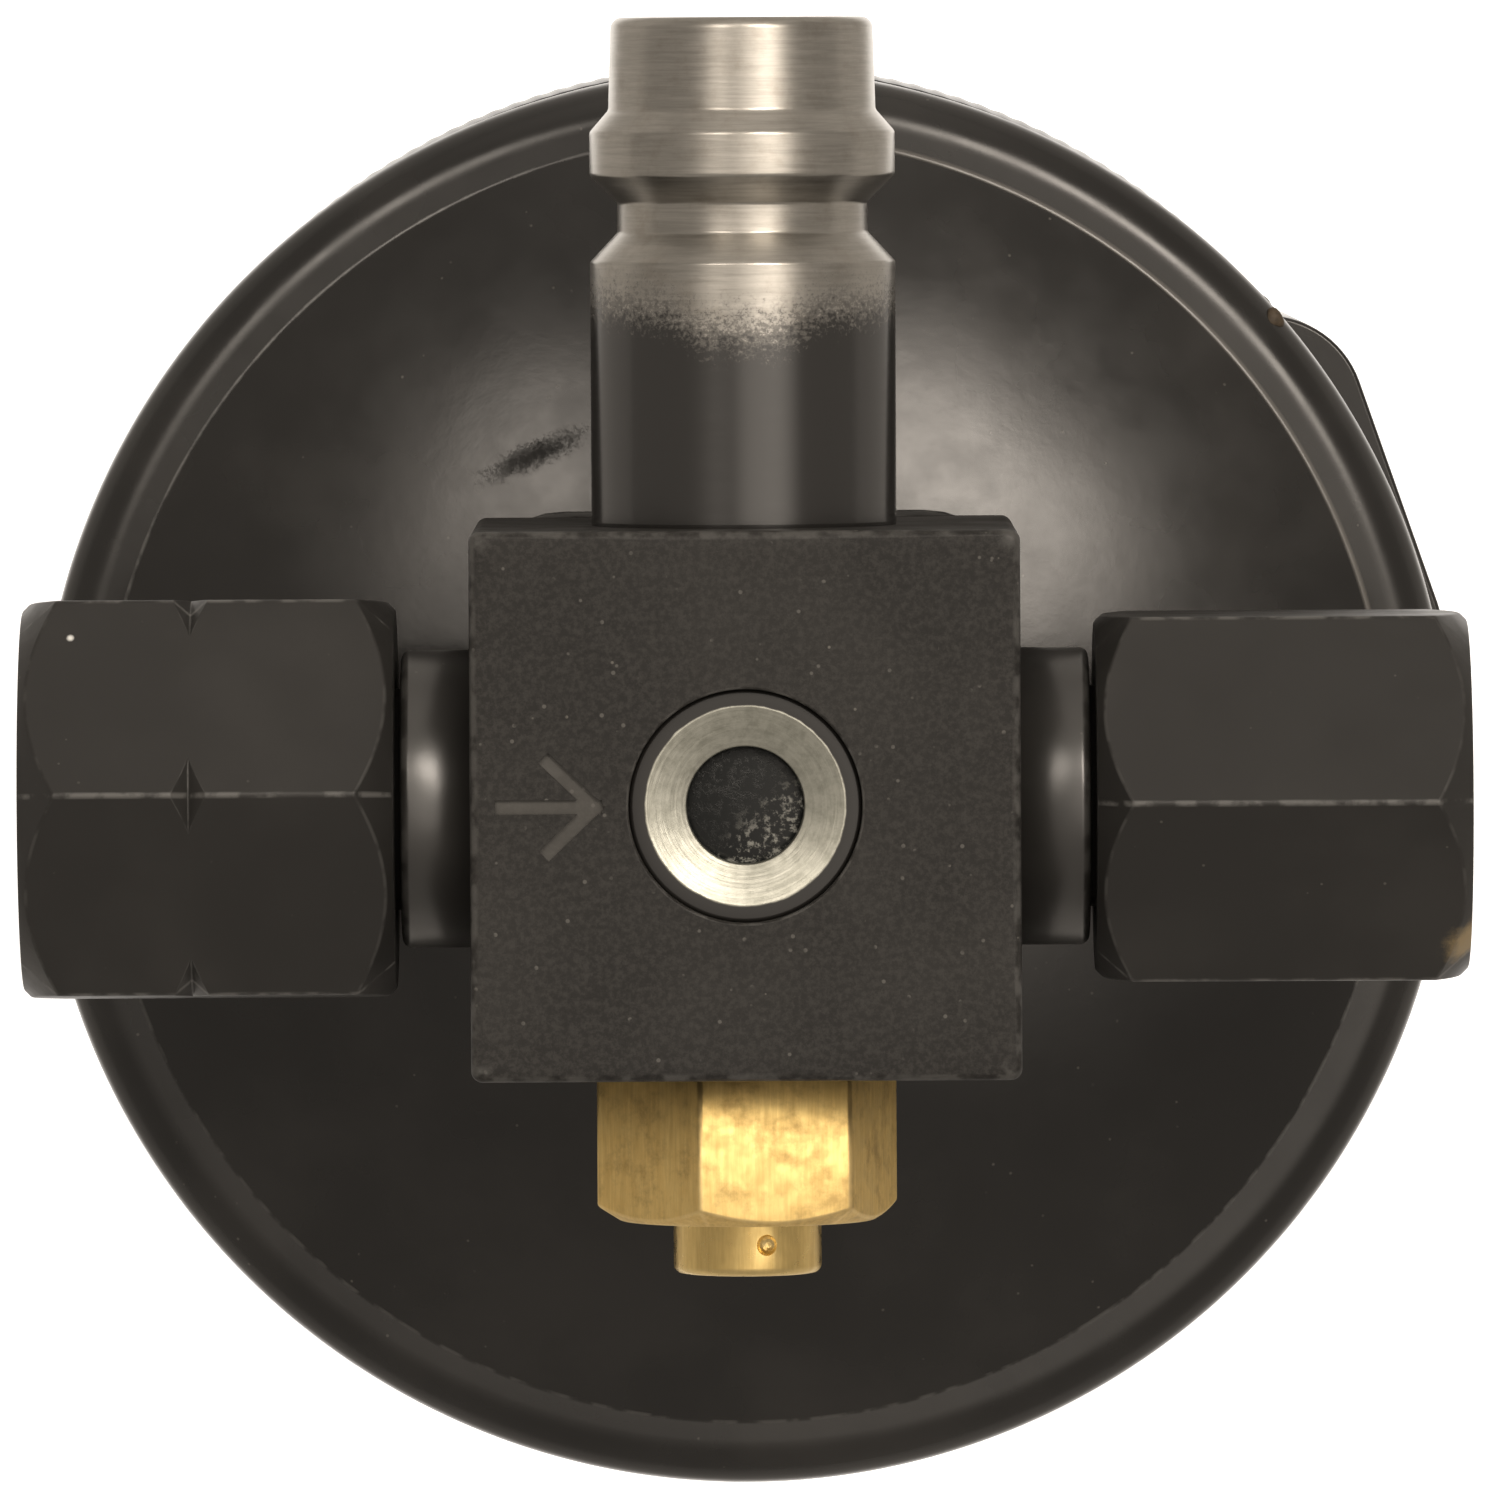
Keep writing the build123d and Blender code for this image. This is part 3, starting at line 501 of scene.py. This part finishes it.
def sight_ring():
    """Plated cone with tool rings; the lip round it carries the block's paint."""
    s = Shader("sight_ring")
    radius = s.math("ADD", s.from_axis(), s.math("MULTIPLY", s.noise(scale=1.2, detail=4), 0.15))
    paint = s.ramp(radius, 5.23, 5.35)
    mottled = s.noise(scale=1.4, detail=6, roughness=0.7)
    plate = s.mix(s.ramp(mottled, 0.35, 0.7), (0.50, 0.50, 0.44), (0.36, 0.36, 0.31))
    color = s.mix(paint, plate, BLACK_PAINT)
    tool = s.noise(factors=(0.02, 0.02, 1), scale=11.0, detail=3)
    rings = s.math("MULTIPLY", tool, s.math("SUBTRACT", 1.0, paint))
    metallic = s.math("SUBTRACT", 1.0, paint)
    return s.finish(color, s.ramp(paint, 0, 1, 0.40, 0.28), s.bump(rings, 0.6, 0.03), metallic)


def sight_glass():
    """Thick glass over a dark chamber, with pale dried speckles on its lower right part."""
    s = Shader("sight_glass", Roughness=0.15, Specular_IOR_Level=0.18)
    x, y = s.axis(X), s.axis(Y)
    grains = s.ramp(s.noise(scale=2.2, detail=7, roughness=0.75), 0.50, 0.62)
    corner = s.math("SUBTRACT", x, s.math("MULTIPLY", y, 1.1))
    share = s.ramp(s.math("ADD", corner, s.math("MULTIPLY", s.noise(scale=0.9), 2.0)), 0.9, 4.2)
    deposit = s.math("MULTIPLY", grains, share)
    color = s.mix(deposit, (0.012, 0.013, 0.013), (0.27, 0.27, 0.245))
    return s.finish(color, None, s.bump(grains, 0.3, 0.03))


def plain_metal(name, color, rough, metallic=1.0):
    """Inner metal parts: drawn or pressed sheet with a little mottling."""
    s = Shader(name, Metallic=metallic)
    mottled = s.noise(scale=1.1, detail=5, roughness=0.65)
    shade = s.mix(s.ramp(mottled, 0.35, 0.7), color, [c * 0.7 for c in color])
    return s.finish(shade, s.ramp(mottled, 0.3, 0.7, rough - 0.06, rough + 0.1), s.bump(mottled, 0.3, 0.02))


def soft_stuff(name, color, rough, scale, depth):
    """Rubber, felt and beads: matt, with a grain of the given scale."""
    s = Shader(name, Specular_IOR_Level=0.3)
    grain = s.noise(scale=scale, detail=5, roughness=0.7)
    shade = s.mix(s.ramp(grain, 0.35, 0.7), color, [c * 0.6 for c in color])
    return s.finish(shade, s.ramp(grain, 0.3, 0.7, rough - 0.1, rough), s.bump(grain, 0.5, depth))


CAN_PAINT = enamel("can_paint", rough=(0.19, 0.27), scuff_and_crease_highlight=True)
BLOCK_PAINT = enamel(
    "block_paint",
    dark=0.014,
    dusty=0.021,
    rough=(0.40, 0.54),
    shine=0.22,
    wear_share=0.4,
    grain=1.1,
    flecks=0.6,
    grit=0.45,
)
NUT_SPOTS = (
    ((-35.1, 8.7, PORT_Z + 6.5), 0.35, (0.75, 0.75, 0.72), 1.0),
    ((37.5, -7.3, PORT_Z + 5.6), 2.4, (0.34, 0.25, 0.12), 0.8),
)
NUT_PAINT = enamel(
    "nut_coating",
    dark=0.017,
    dusty=0.024,
    rough=(0.36, 0.50),
    shine=0.4,
    wear_share=0.6,
    grain=0.4,
    spots=NUT_SPOTS,
)
STUB_PAINT = enamel("stub_paint", dark=0.020, dusty=0.030, rough=(0.28, 0.34), shine=1.0)
PORT_STEEL = bare_steel_port()
BRASS = brass()
PLATED = plated("plated_steel")
SPATTER = soft_stuff("weld_spatter", (0.075, 0.055, 0.035), 0.6, 2.5, 0.05)
SIGHT_RING = sight_ring()
GLASS = sight_glass()
RUBBER = soft_stuff("seal_rubber", (0.02, 0.02, 0.02), 0.6, 2.0, 0.02)
GREEN_RUBBER = soft_stuff("seal_green", (0.02, 0.11, 0.05), 0.5, 2.0, 0.02)
CORE_BRASS = plain_metal("core_brass", (0.70, 0.50, 0.22), 0.3)
WIRE = plain_metal("spring_steel", (0.50, 0.50, 0.50), 0.35)
TUBE = plain_metal("tube_steel", (0.55, 0.54, 0.52), 0.35)
SHEET = plain_metal("sheet_steel", (0.52, 0.51, 0.50), 0.4)
SCREEN = plain_metal("screen_steel", (0.48, 0.48, 0.47), 0.5)
FELT = soft_stuff("felt", (0.70, 0.66, 0.58), 0.9, 1.5, 0.3)
DESICCANT = soft_stuff("desiccant", (0.60, 0.52, 0.40), 0.8, 0.8, 0.5)


# ---------------------------------------------------------------- can
SHOULDER_R = 2.6
CREASE_R = 34.65
SEAT_R = 14.8
SHOULDER_SLOPE = math.radians(3)
SEAT_RISE = 9.8  # of the block's seat above the rim
RIM_Z = SEAT_Z - SEAT_RISE
BASE_CORNER_R = 9.0
CAN_SEGMENTS = 360


def arc(centre, radius, start, end, steps):
    """Points (radius, height, 0) of an arc between two angles in degrees."""
    angles = [math.radians(start + (end - start) * k / steps) for k in range(steps + 1)]
    return [(centre[0] + radius * math.cos(a), centre[1] + radius * math.sin(a), 0.0) for a in angles]


def cap_outline():
    """From the weld up the wall, over shoulder and crease, up the dome to the axis."""
    knee = arc((CAN_R - SHOULDER_R, RIM_Z), SHOULDER_R, 0, 90 - math.degrees(SHOULDER_SLOPE), 10)
    knee_r, knee_z, _ = knee[-1]
    crease_z = knee_z + (knee_r - CREASE_R) * math.tan(SHOULDER_SLOPE)
    centre_z = (CREASE_R**2 - SEAT_R**2 + crease_z**2 - SEAT_Z**2) / (2 * (crease_z - SEAT_Z))
    dome_r = math.hypot(SEAT_R, SEAT_Z - centre_z)
    low = math.degrees(math.atan2(crease_z - centre_z, CREASE_R))
    high = math.degrees(math.atan2(SEAT_Z - centre_z, SEAT_R))
    dome = arc((0, centre_z), dome_r, low, high, 36)
    wall = [(CAN_R, WELD_Z, 0.0)]
    crease = rounded([(*knee[-1][:2], 0), (CREASE_R, crease_z, 0.6), (*dome[1][:2], 0)], closed=False)
    return wall + knee + crease[1:-1] + dome[1:] + [(0.0, SEAT_Z, 0.0)]


def body_outline():
    corner = arc((CAN_R - BASE_CORNER_R, BASE_CORNER_R), BASE_CORNER_R, 270, 360, 14)
    return [(0.0, 0.0, 0.0)] + corner + [(CAN_R, WELD_Z, 0.0)]


def round_skin(name, outline, node):
    angles = even_angles(CAN_SEGMENTS)
    piece = polar(name, lambda angle: outline, angles, UPRIGHT, CAN_PAINT, "drier", closed=False)
    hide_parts(node)


round_skin("canister_skin", body_outline(), "canister_body")
round_skin("cap_skin", cap_outline(), "top_cap")


def girth_weld():
    """Rippled bead over the joint of body and cap."""
    low, high = span("girth_weld", Z)
    proud = span("girth_weld", X)[1] - CAN_R - 0.02
    ripples, rows, half = 190, 14, (high - low) / 2

    def column(angle):
        points = []
        for k in range(rows + 1):
            t = 2 * k / rows - 1
            ripple = 0.5 + 0.5 * math.sin(ripples * angle + 2.2 * t * t)
            rise = (proud - 0.06 * ripple) * (1 - t * t)
            points.append((CAN_R + max(rise, -0.05), WELD_Z + half * t, 0.6 * ripple * (1 - t * t)))
        return [(CAN_R - 0.3, low, 0.0)] + points + [(CAN_R - 0.3, high, 0.0)]

    piece = polar("girth_weld_skin", column, even_angles(ripples * 8), UPRIGHT, CAN_PAINT, "drier")
    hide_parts("girth_weld")


girth_weld()


def spatter():
    """Bead of weld spatter on the cap's rim above the bracket."""
    angle, r = math.radians(40.7), 37.6
    bm = bmesh.new()
    bm.verts.layers.float.new("wear")
    bmesh.ops.create_icosphere(bm, subdivisions=3, radius=0.55)
    for vert in bm.verts:
        vert.co *= 1 + 0.25 * math.sin(5 * vert.co.x + 3 * vert.co.y) * math.cos(4 * vert.co.z)
    place = Matrix.Translation((r * math.cos(angle), r * math.sin(angle), RIM_Z + 1.2))
    piece = finish_mesh("weld_spatter", bm, place, SPATTER, "drier")


spatter()


def soften(node, width):
    """Rounds the sharp edges of a CAD node that is shown as it is."""
    piece = frame["nodes"][node]
    weld = piece.modifiers.new("weld", "WELD")
    weld.merge_threshold = 1e-6
    bevel = piece.modifiers.new("bevel", "BEVEL")
    bevel.width, bevel.segments, bevel.limit_method = width * MM, 3, "ANGLE"
    bevel.angle_limit, bevel.harden_normals = math.radians(40), True


soften("index_bracket", 0.35)


# ---------------------------------------------------------------- hexagon nuts
THREAD_R, THREAD_DEPTH, THREAD_L, PITCH = 7.2, 0.72, 9.5, 25.4 / 18
UNDERCUT_R, WEB, WEB_HOLE_R = 8.1, 3.2, 6.1
NOTCH_X, NOTCH_DEPTH = 28.9, 0.95
EDGE = 0.4


def thread_points(angle, low, high, steps_per_turn=10):
    """Inner thread from high down to low, fading out at both ends."""
    points = []
    count = int((high - low) / PITCH * steps_per_turn)
    for k in range(count + 1):
        h = high + (low - high) * k / count
        phase = (h / PITCH - angle / (2 * math.pi)) % 1.0
        tooth = min(1.0, max(0.0, (abs(phase - 0.5) * 2 - 0.12) / 0.76))
        fade = min(1.0, k / 6, (count - k) / 6)
        points.append((THREAD_R + THREAD_DEPTH * tooth * fade, h, 0.0))
    return points


def nut(name, node, corner_r, turn, notched, place):
    apothem = corner_r * math.cos(math.pi / 6)
    end_r = apothem - EDGE
    low, high = NUT_IN, NUT_OUT
    turn = math.radians(turn)

    def column(angle):
        reach, corner = polygon_radius(angle, apothem, 6, 0.4, turn)
        bevel = reach - end_r
        outside = [(end_r, low, 0.2), (reach, low + bevel, 0.35)]
        if notched:
            depth = max(0.001, reach - (corner_r - NOTCH_DEPTH))
            outside += [
                (reach, NOTCH_X - depth, 0.12),
                (reach - depth, NOTCH_X, 0.1),
                (reach, NOTCH_X + depth, 0.12),
            ]
        outside += [(reach, high - bevel, 0.35), (end_r, high, 0.2), (THREAD_R + 2 * EDGE, high, 0.1)]
        inside = [
            (UNDERCUT_R, high - THREAD_L, 0.1),
            (UNDERCUT_R, low + WEB, 0.1),
            (WEB_HOLE_R, low + WEB, 0.1),
            (WEB_HOLE_R, low, 0.3),
        ]
        outline = rounded(outside + inside)
        cut = (len(outside) - 1) * 5 + 5
        skin = [(r, h, max(0.3 * e, corner if r > end_r else 0)) for r, h, e in outline]
        return skin[:cut] + thread_points(angle, high - THREAD_L + 0.1, high - EDGE) + skin[cut:]

    angles = polygon_angles(apothem, 6, 0.4, turn, 24)
    piece = polar(name, column, angles, place, NUT_PAINT, node)
    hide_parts(node)


nut("inlet_nut_skin", "inlet_nut", INLET_CORNER_R, 3.6, True, TO_INLET)
nut("outlet_nut_skin", "outlet_nut", OUTLET_CORNER_R, 0, False, TO_OUTLET)


# ---------------------------------------------------------------- stubs
def stub(name, node, place):
    flange_out = STUB_TIP - 4.6
    corners = [
        (3.2, FACE - 1, 0),
        (STUB_R, FACE - 1, 0),
        (STUB_R, NUT_IN - 0.3, 0.5),
        (5.8, NUT_IN - 0.3, 0),
        (5.8, flange_out - 2, 0),
        (7.0, flange_out - 2, 0.15),
        (7.0, flange_out, 0.3),
        (4.75, flange_out, 0.1),
        (4.75, STUB_TIP, 0.5),
        (3.2, STUB_TIP, 0.3),
    ]
    piece = lathe(name, corners, place, STUB_PAINT, "drier")
    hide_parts(node)


stub("inlet_stub_skin", "inlet_stub", TO_INLET)
stub("outlet_stub_skin", "outlet_stub", TO_OUTLET)


# ---------------------------------------------------------------- head block
def flow_mark():
    """Arrow towards +X, stamped beside the sight glass."""
    centre_x, length, width, line, depth = -10.2, 4.8, 4.6, 0.75, 0.3
    tip = (centre_x + length / 2, 0)
    bm = bmesh.new()
    for tail in ((centre_x - length / 2, 0), (centre_x, width / 2), (centre_x, -width / 2)):
        stroke(bm, tail, tip, line, BLOCK_TOP - depth, BLOCK_TOP + 1)
    mesh = bpy.data.meshes.new("flow_mark")
    bm.to_mesh(mesh)
    bm.free()
    return mesh


def head_block():
    fillet, bore_r = 0.6, RING_R + 0.02
    floor = BLOCK_TOP - 3.0

    def column(angle):
        reach, corner = polygon_radius(angle, FACE, 4, fillet, math.pi / 4)
        outline = rounded(
            [
                (bore_r, BLOCK_LOW, 0),
                (reach - 1.2, BLOCK_LOW, 0),
                (reach, BLOCK_LOW, 0.2),
                (reach, BLOCK_TOP, 0.5),
                (reach - 1.2, BLOCK_TOP, 0),
                (bore_r, BLOCK_TOP, 0.15),
                (bore_r, floor, 0),
            ]
        )
        return [(r, h, max(e, corner if r > reach - 0.9 else 0)) for r, h, e in outline]

    angles = polygon_angles(FACE, 4, fillet, math.pi / 4, 36)
    piece = polar("head_block_skin", column, angles, UPRIGHT, BLOCK_PAINT, "drier")
    carve(piece, flow_mark())
    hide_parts("head_block")
    return piece


head_block()


def head_braze():
    """Braze bead around the foot of the block, with the slight waves of a hand-run joint."""
    half, corner, deep = FACE + 0.3, 5.0, 1.9

    def column(angle):
        reach, _ = polygon_radius(angle, half, 4, corner, math.pi / 4)
        wave = 0.05 * math.sin(23 * angle) + 0.04 * math.sin(41 * angle + 1)
        return rounded(
            [
                (FACE * 0.7, BLOCK_LOW - deep, 0),
                (reach, BLOCK_LOW - deep, 0),
                (reach, BLOCK_LOW + 0.35 + wave, 0.3),
                (reach - 0.6, BLOCK_LOW + 0.75 + wave, 0),
                (FACE * 0.7, BLOCK_LOW + 0.3, 0),
            ]
        )

    angles = polygon_angles(half, 4, corner, math.pi / 4, 60)
    piece = polar("head_braze_skin", column, angles, UPRIGHT, CAN_PAINT, "drier")
    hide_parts("head_braze")


head_braze()


# ---------------------------------------------------------------- service port
def service_port():
    r = PORT_R
    corners = [
        (1.8, FACE - 1, 0),
        (r - 0.1, FACE - 1, 0),
        (r, FACE + 0.2, 0.1),
        (r, 28.1, 0.25),
        (6.55, 29.65, 0.3),
        (6.55, 31.2, 0.3),
        (r, 32.65, 0.35),
        (r, 34.9, 0.35),
        (7.0, 36.05, 0.4),
        (6.85, PORT_TIP, 0.6),
        (4.4, PORT_TIP, 0.4),
        (4.4, 35.8, 0.1),
        (4.0, 35.8, 0.1),
        (4.0, 34.0, 0),
        (1.8, 34.0, 0),
    ]
    piece = lathe("service_port_skin", corners, TO_SERVICE, PORT_STEEL, "drier", segments=192, steps=5)
    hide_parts("service_port_body")


service_port()


# ---------------------------------------------------------------- relief valve
def relief_valve():
    apothem, turn, fillet = 7.0, math.radians(17.8), 0.35
    hex_end, nose_r, bore_r = RELIEF_TIP - 2.8, 3.88, 2.9
    end_r = apothem - 0.3

    def column(angle):
        reach, corner = polygon_radius(angle, apothem, 6, fillet, turn)
        bevel = (reach - end_r) * math.tan(math.radians(32))
        outline = rounded(
            [
                (bore_r, FACE - 0.5, 0),
                (reach, FACE, 0),
                (reach, hex_end - bevel, 0.3),
                (end_r, hex_end, 0.25),
                (nose_r, hex_end, 0.2),
                (nose_r, RELIEF_TIP, 0.9),
                (bore_r, RELIEF_TIP, 0.15),
            ]
        )
        return [(r, h, max(e, corner if r > end_r else 0)) for r, h, e in outline]

    angles = polygon_angles(apothem, 6, fillet, turn, 24)
    piece = polar("relief_body_skin", column, angles, TO_RELIEF, BRASS, "drier")
    lean, punch_r = math.radians(15), 0.65
    out = nose_r + punch_r / 2
    mark = (out * math.sin(lean), -RELIEF_TIP + 1.65, PORT_Z + out * math.cos(lean))
    carve(piece, punches([mark], punch_r))
    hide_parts("relief_body")


relief_valve()


# ---------------------------------------------------------------- sight glass
def sight_glass_parts():
    corners = [
        (RING_R, RING_TOP - 6.8, 0),
        (RING_R, RING_TOP, 0.22),
        (5.15, RING_TOP, 0.2),
        (3.05, RING_TOP - 0.75, 0.15),
        (3.05, LENS_TOP, 0),
        (LENS_R, LENS_TOP, 0),
        (LENS_R, RING_TOP - 6.8, 0),
    ]
    ring = lathe("sight_ring_skin", corners, UPRIGHT, SIGHT_RING, "drier", steps=6)
    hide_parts("sight_glass_ring")
    thick, crown = 2.9, 0.3
    lens_corners = [
        (0, LENS_TOP - thick, 0),
        (LENS_R, LENS_TOP - thick, 0.2),
        (LENS_R, LENS_TOP - crown, 0.3),
        (0, LENS_TOP, 0),
    ]
    lens = lathe("lens_skin", lens_corners, UPRIGHT, GLASS, "drier", closed=False)
    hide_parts("sight_glass_lens")


sight_glass_parts()


# ---------------------------------------------------------------- carried-over nodes
MATERIALS = {
    "can_paint": CAN_PAINT,
    "block_paint": BLOCK_PAINT,
    "nut_coating": NUT_PAINT,
    "port_steel": PORT_STEEL,
    "valve_brass": BRASS,
    "core_brass": CORE_BRASS,
    "plated_steel": PLATED,
    "sight_glass": GLASS,
    "seal_rubber": RUBBER,
    "seal_green": GREEN_RUBBER,
    "spring_steel": WIRE,
    "tube_steel": TUBE,
    "sheet_steel": SHEET,
    "screen_steel": SCREEN,
    "felt": FELT,
    "desiccant": DESICCANT,
}
for subpart in frame["record"]["subparts"]:
    mesh = frame["nodes"][subpart["node"]].data
    mesh.materials.clear()
    mesh.materials.append(MATERIALS[subpart["material_slot"]])


# ---------------------------------------------------------------- stage, light and camera
def floor():
    """Pale floor, brightest round the object, where the can would otherwise shade it."""
    mesh = bpy.data.meshes.new("floor")
    half = 3.0
    corners = [(-half, -half, 0), (half, -half, 0), (half, half, 0), (-half, half, 0)]
    mesh.from_pydata(corners, [], [(0, 1, 2, 3)])
    plane = bpy.data.objects.new("floor", mesh)
    bpy.context.scene.collection.objects.link(plane)
    s = Shader("floor_paper", Roughness=0.9, Specular_IOR_Level=0.1)
    distance = s.node("ShaderNodeVectorMath", operation="LENGTH")
    s.link(s.position, distance.inputs[0])
    near = s.ramp(distance.outputs["Value"], 0.075, 0.24, 1.0, 0.0)
    color = s.mix(near, (0.50, 0.50, 0.50), (0.93, 0.93, 0.93))
    s.principled.inputs["Emission Color"].default_value = (1.0, 1.0, 1.0, 1)
    s.link(s.math("MULTIPLY", near, 0.75), s.principled.inputs["Emission Strength"])
    mesh.materials.append(s.finish(color))


WARM_WHITE = (1.0, 0.90, 0.79, 1)
# azimuth from +X towards +Y, tilt from the zenith, inner and outer half angle, radiance
SOFT_LIGHTS = (
    (38, 31, 4, 11, 9.0),
    (63, 31, 4, 11, 11.0),
    (122, 31, 4, 11, 5.2),
    (142, 27, 4, 12, 2.5),
    (0, 18, 8, 28, 0.95),
    (70, 8, 4, 48, 0.30),
    (90, 72, 8, 34, 0.38),
)
SKY = 0.38


def studio():
    """Dim room with soft boxes at the upper right and left, weak light overhead and one low behind the port."""
    world = bpy.data.worlds.new("studio")
    bpy.context.scene.world = world
    world.use_nodes = True
    n = Nodes(world.node_tree, "Generated")
    total = SKY
    for azimuth, tilt, inner, outer, radiance in SOFT_LIGHTS:
        a, t = math.radians(azimuth), math.radians(tilt)
        product = n.node("ShaderNodeVectorMath", operation="DOT_PRODUCT")
        n.link(n.position, product.inputs[0])
        aim = (math.cos(a) * math.sin(t), math.sin(a) * math.sin(t), math.cos(t))
        product.inputs[1].default_value = aim
        edge, core = math.cos(math.radians(outer)), math.cos(math.radians(inner))
        total = n.math("ADD", n.ramp(product.outputs["Value"], edge, core, 0.0, radiance), total)
    background = world.node_tree.nodes["Background"]
    background.inputs["Color"].default_value = WARM_WHITE
    n.link(total, background.inputs["Strength"])


CAMERA_TILT = math.radians(2.2)
CAMERA_ROLL = math.radians(0.3)
CAMERA_DISTANCE = 0.991
FRAME_W = 1488
PIXELS_PER_MM = 18.55  # at the rim
AIM_X, AIM_Y = -0.06, 1.45


def camera():
    data = bpy.data.cameras.new("camera")
    data.sensor_fit = "HORIZONTAL"
    data.sensor_width = 36
    data.lens = PIXELS_PER_MM / MM * CAMERA_DISTANCE / FRAME_W * data.sensor_width
    data.clip_end = 20
    eye = bpy.data.objects.new("camera", data)
    aim = Vector((AIM_X * MM, AIM_Y * MM, RIM_Z * MM))
    away = Vector((0, math.sin(CAMERA_TILT), math.cos(CAMERA_TILT)))
    up = Vector((math.sin(CAMERA_ROLL), math.cos(CAMERA_ROLL), 0))
    right = up.cross(away).normalized()
    up = away.cross(right)
    turn = Matrix((right, up, away)).transposed().to_4x4()
    eye.matrix_world = Matrix.Translation(aim + away * CAMERA_DISTANCE) @ turn
    bpy.context.scene.collection.objects.link(eye)
    bpy.context.scene.camera = eye


floor()
studio()
camera()
bpy.context.scene.view_settings.view_transform = "Standard"
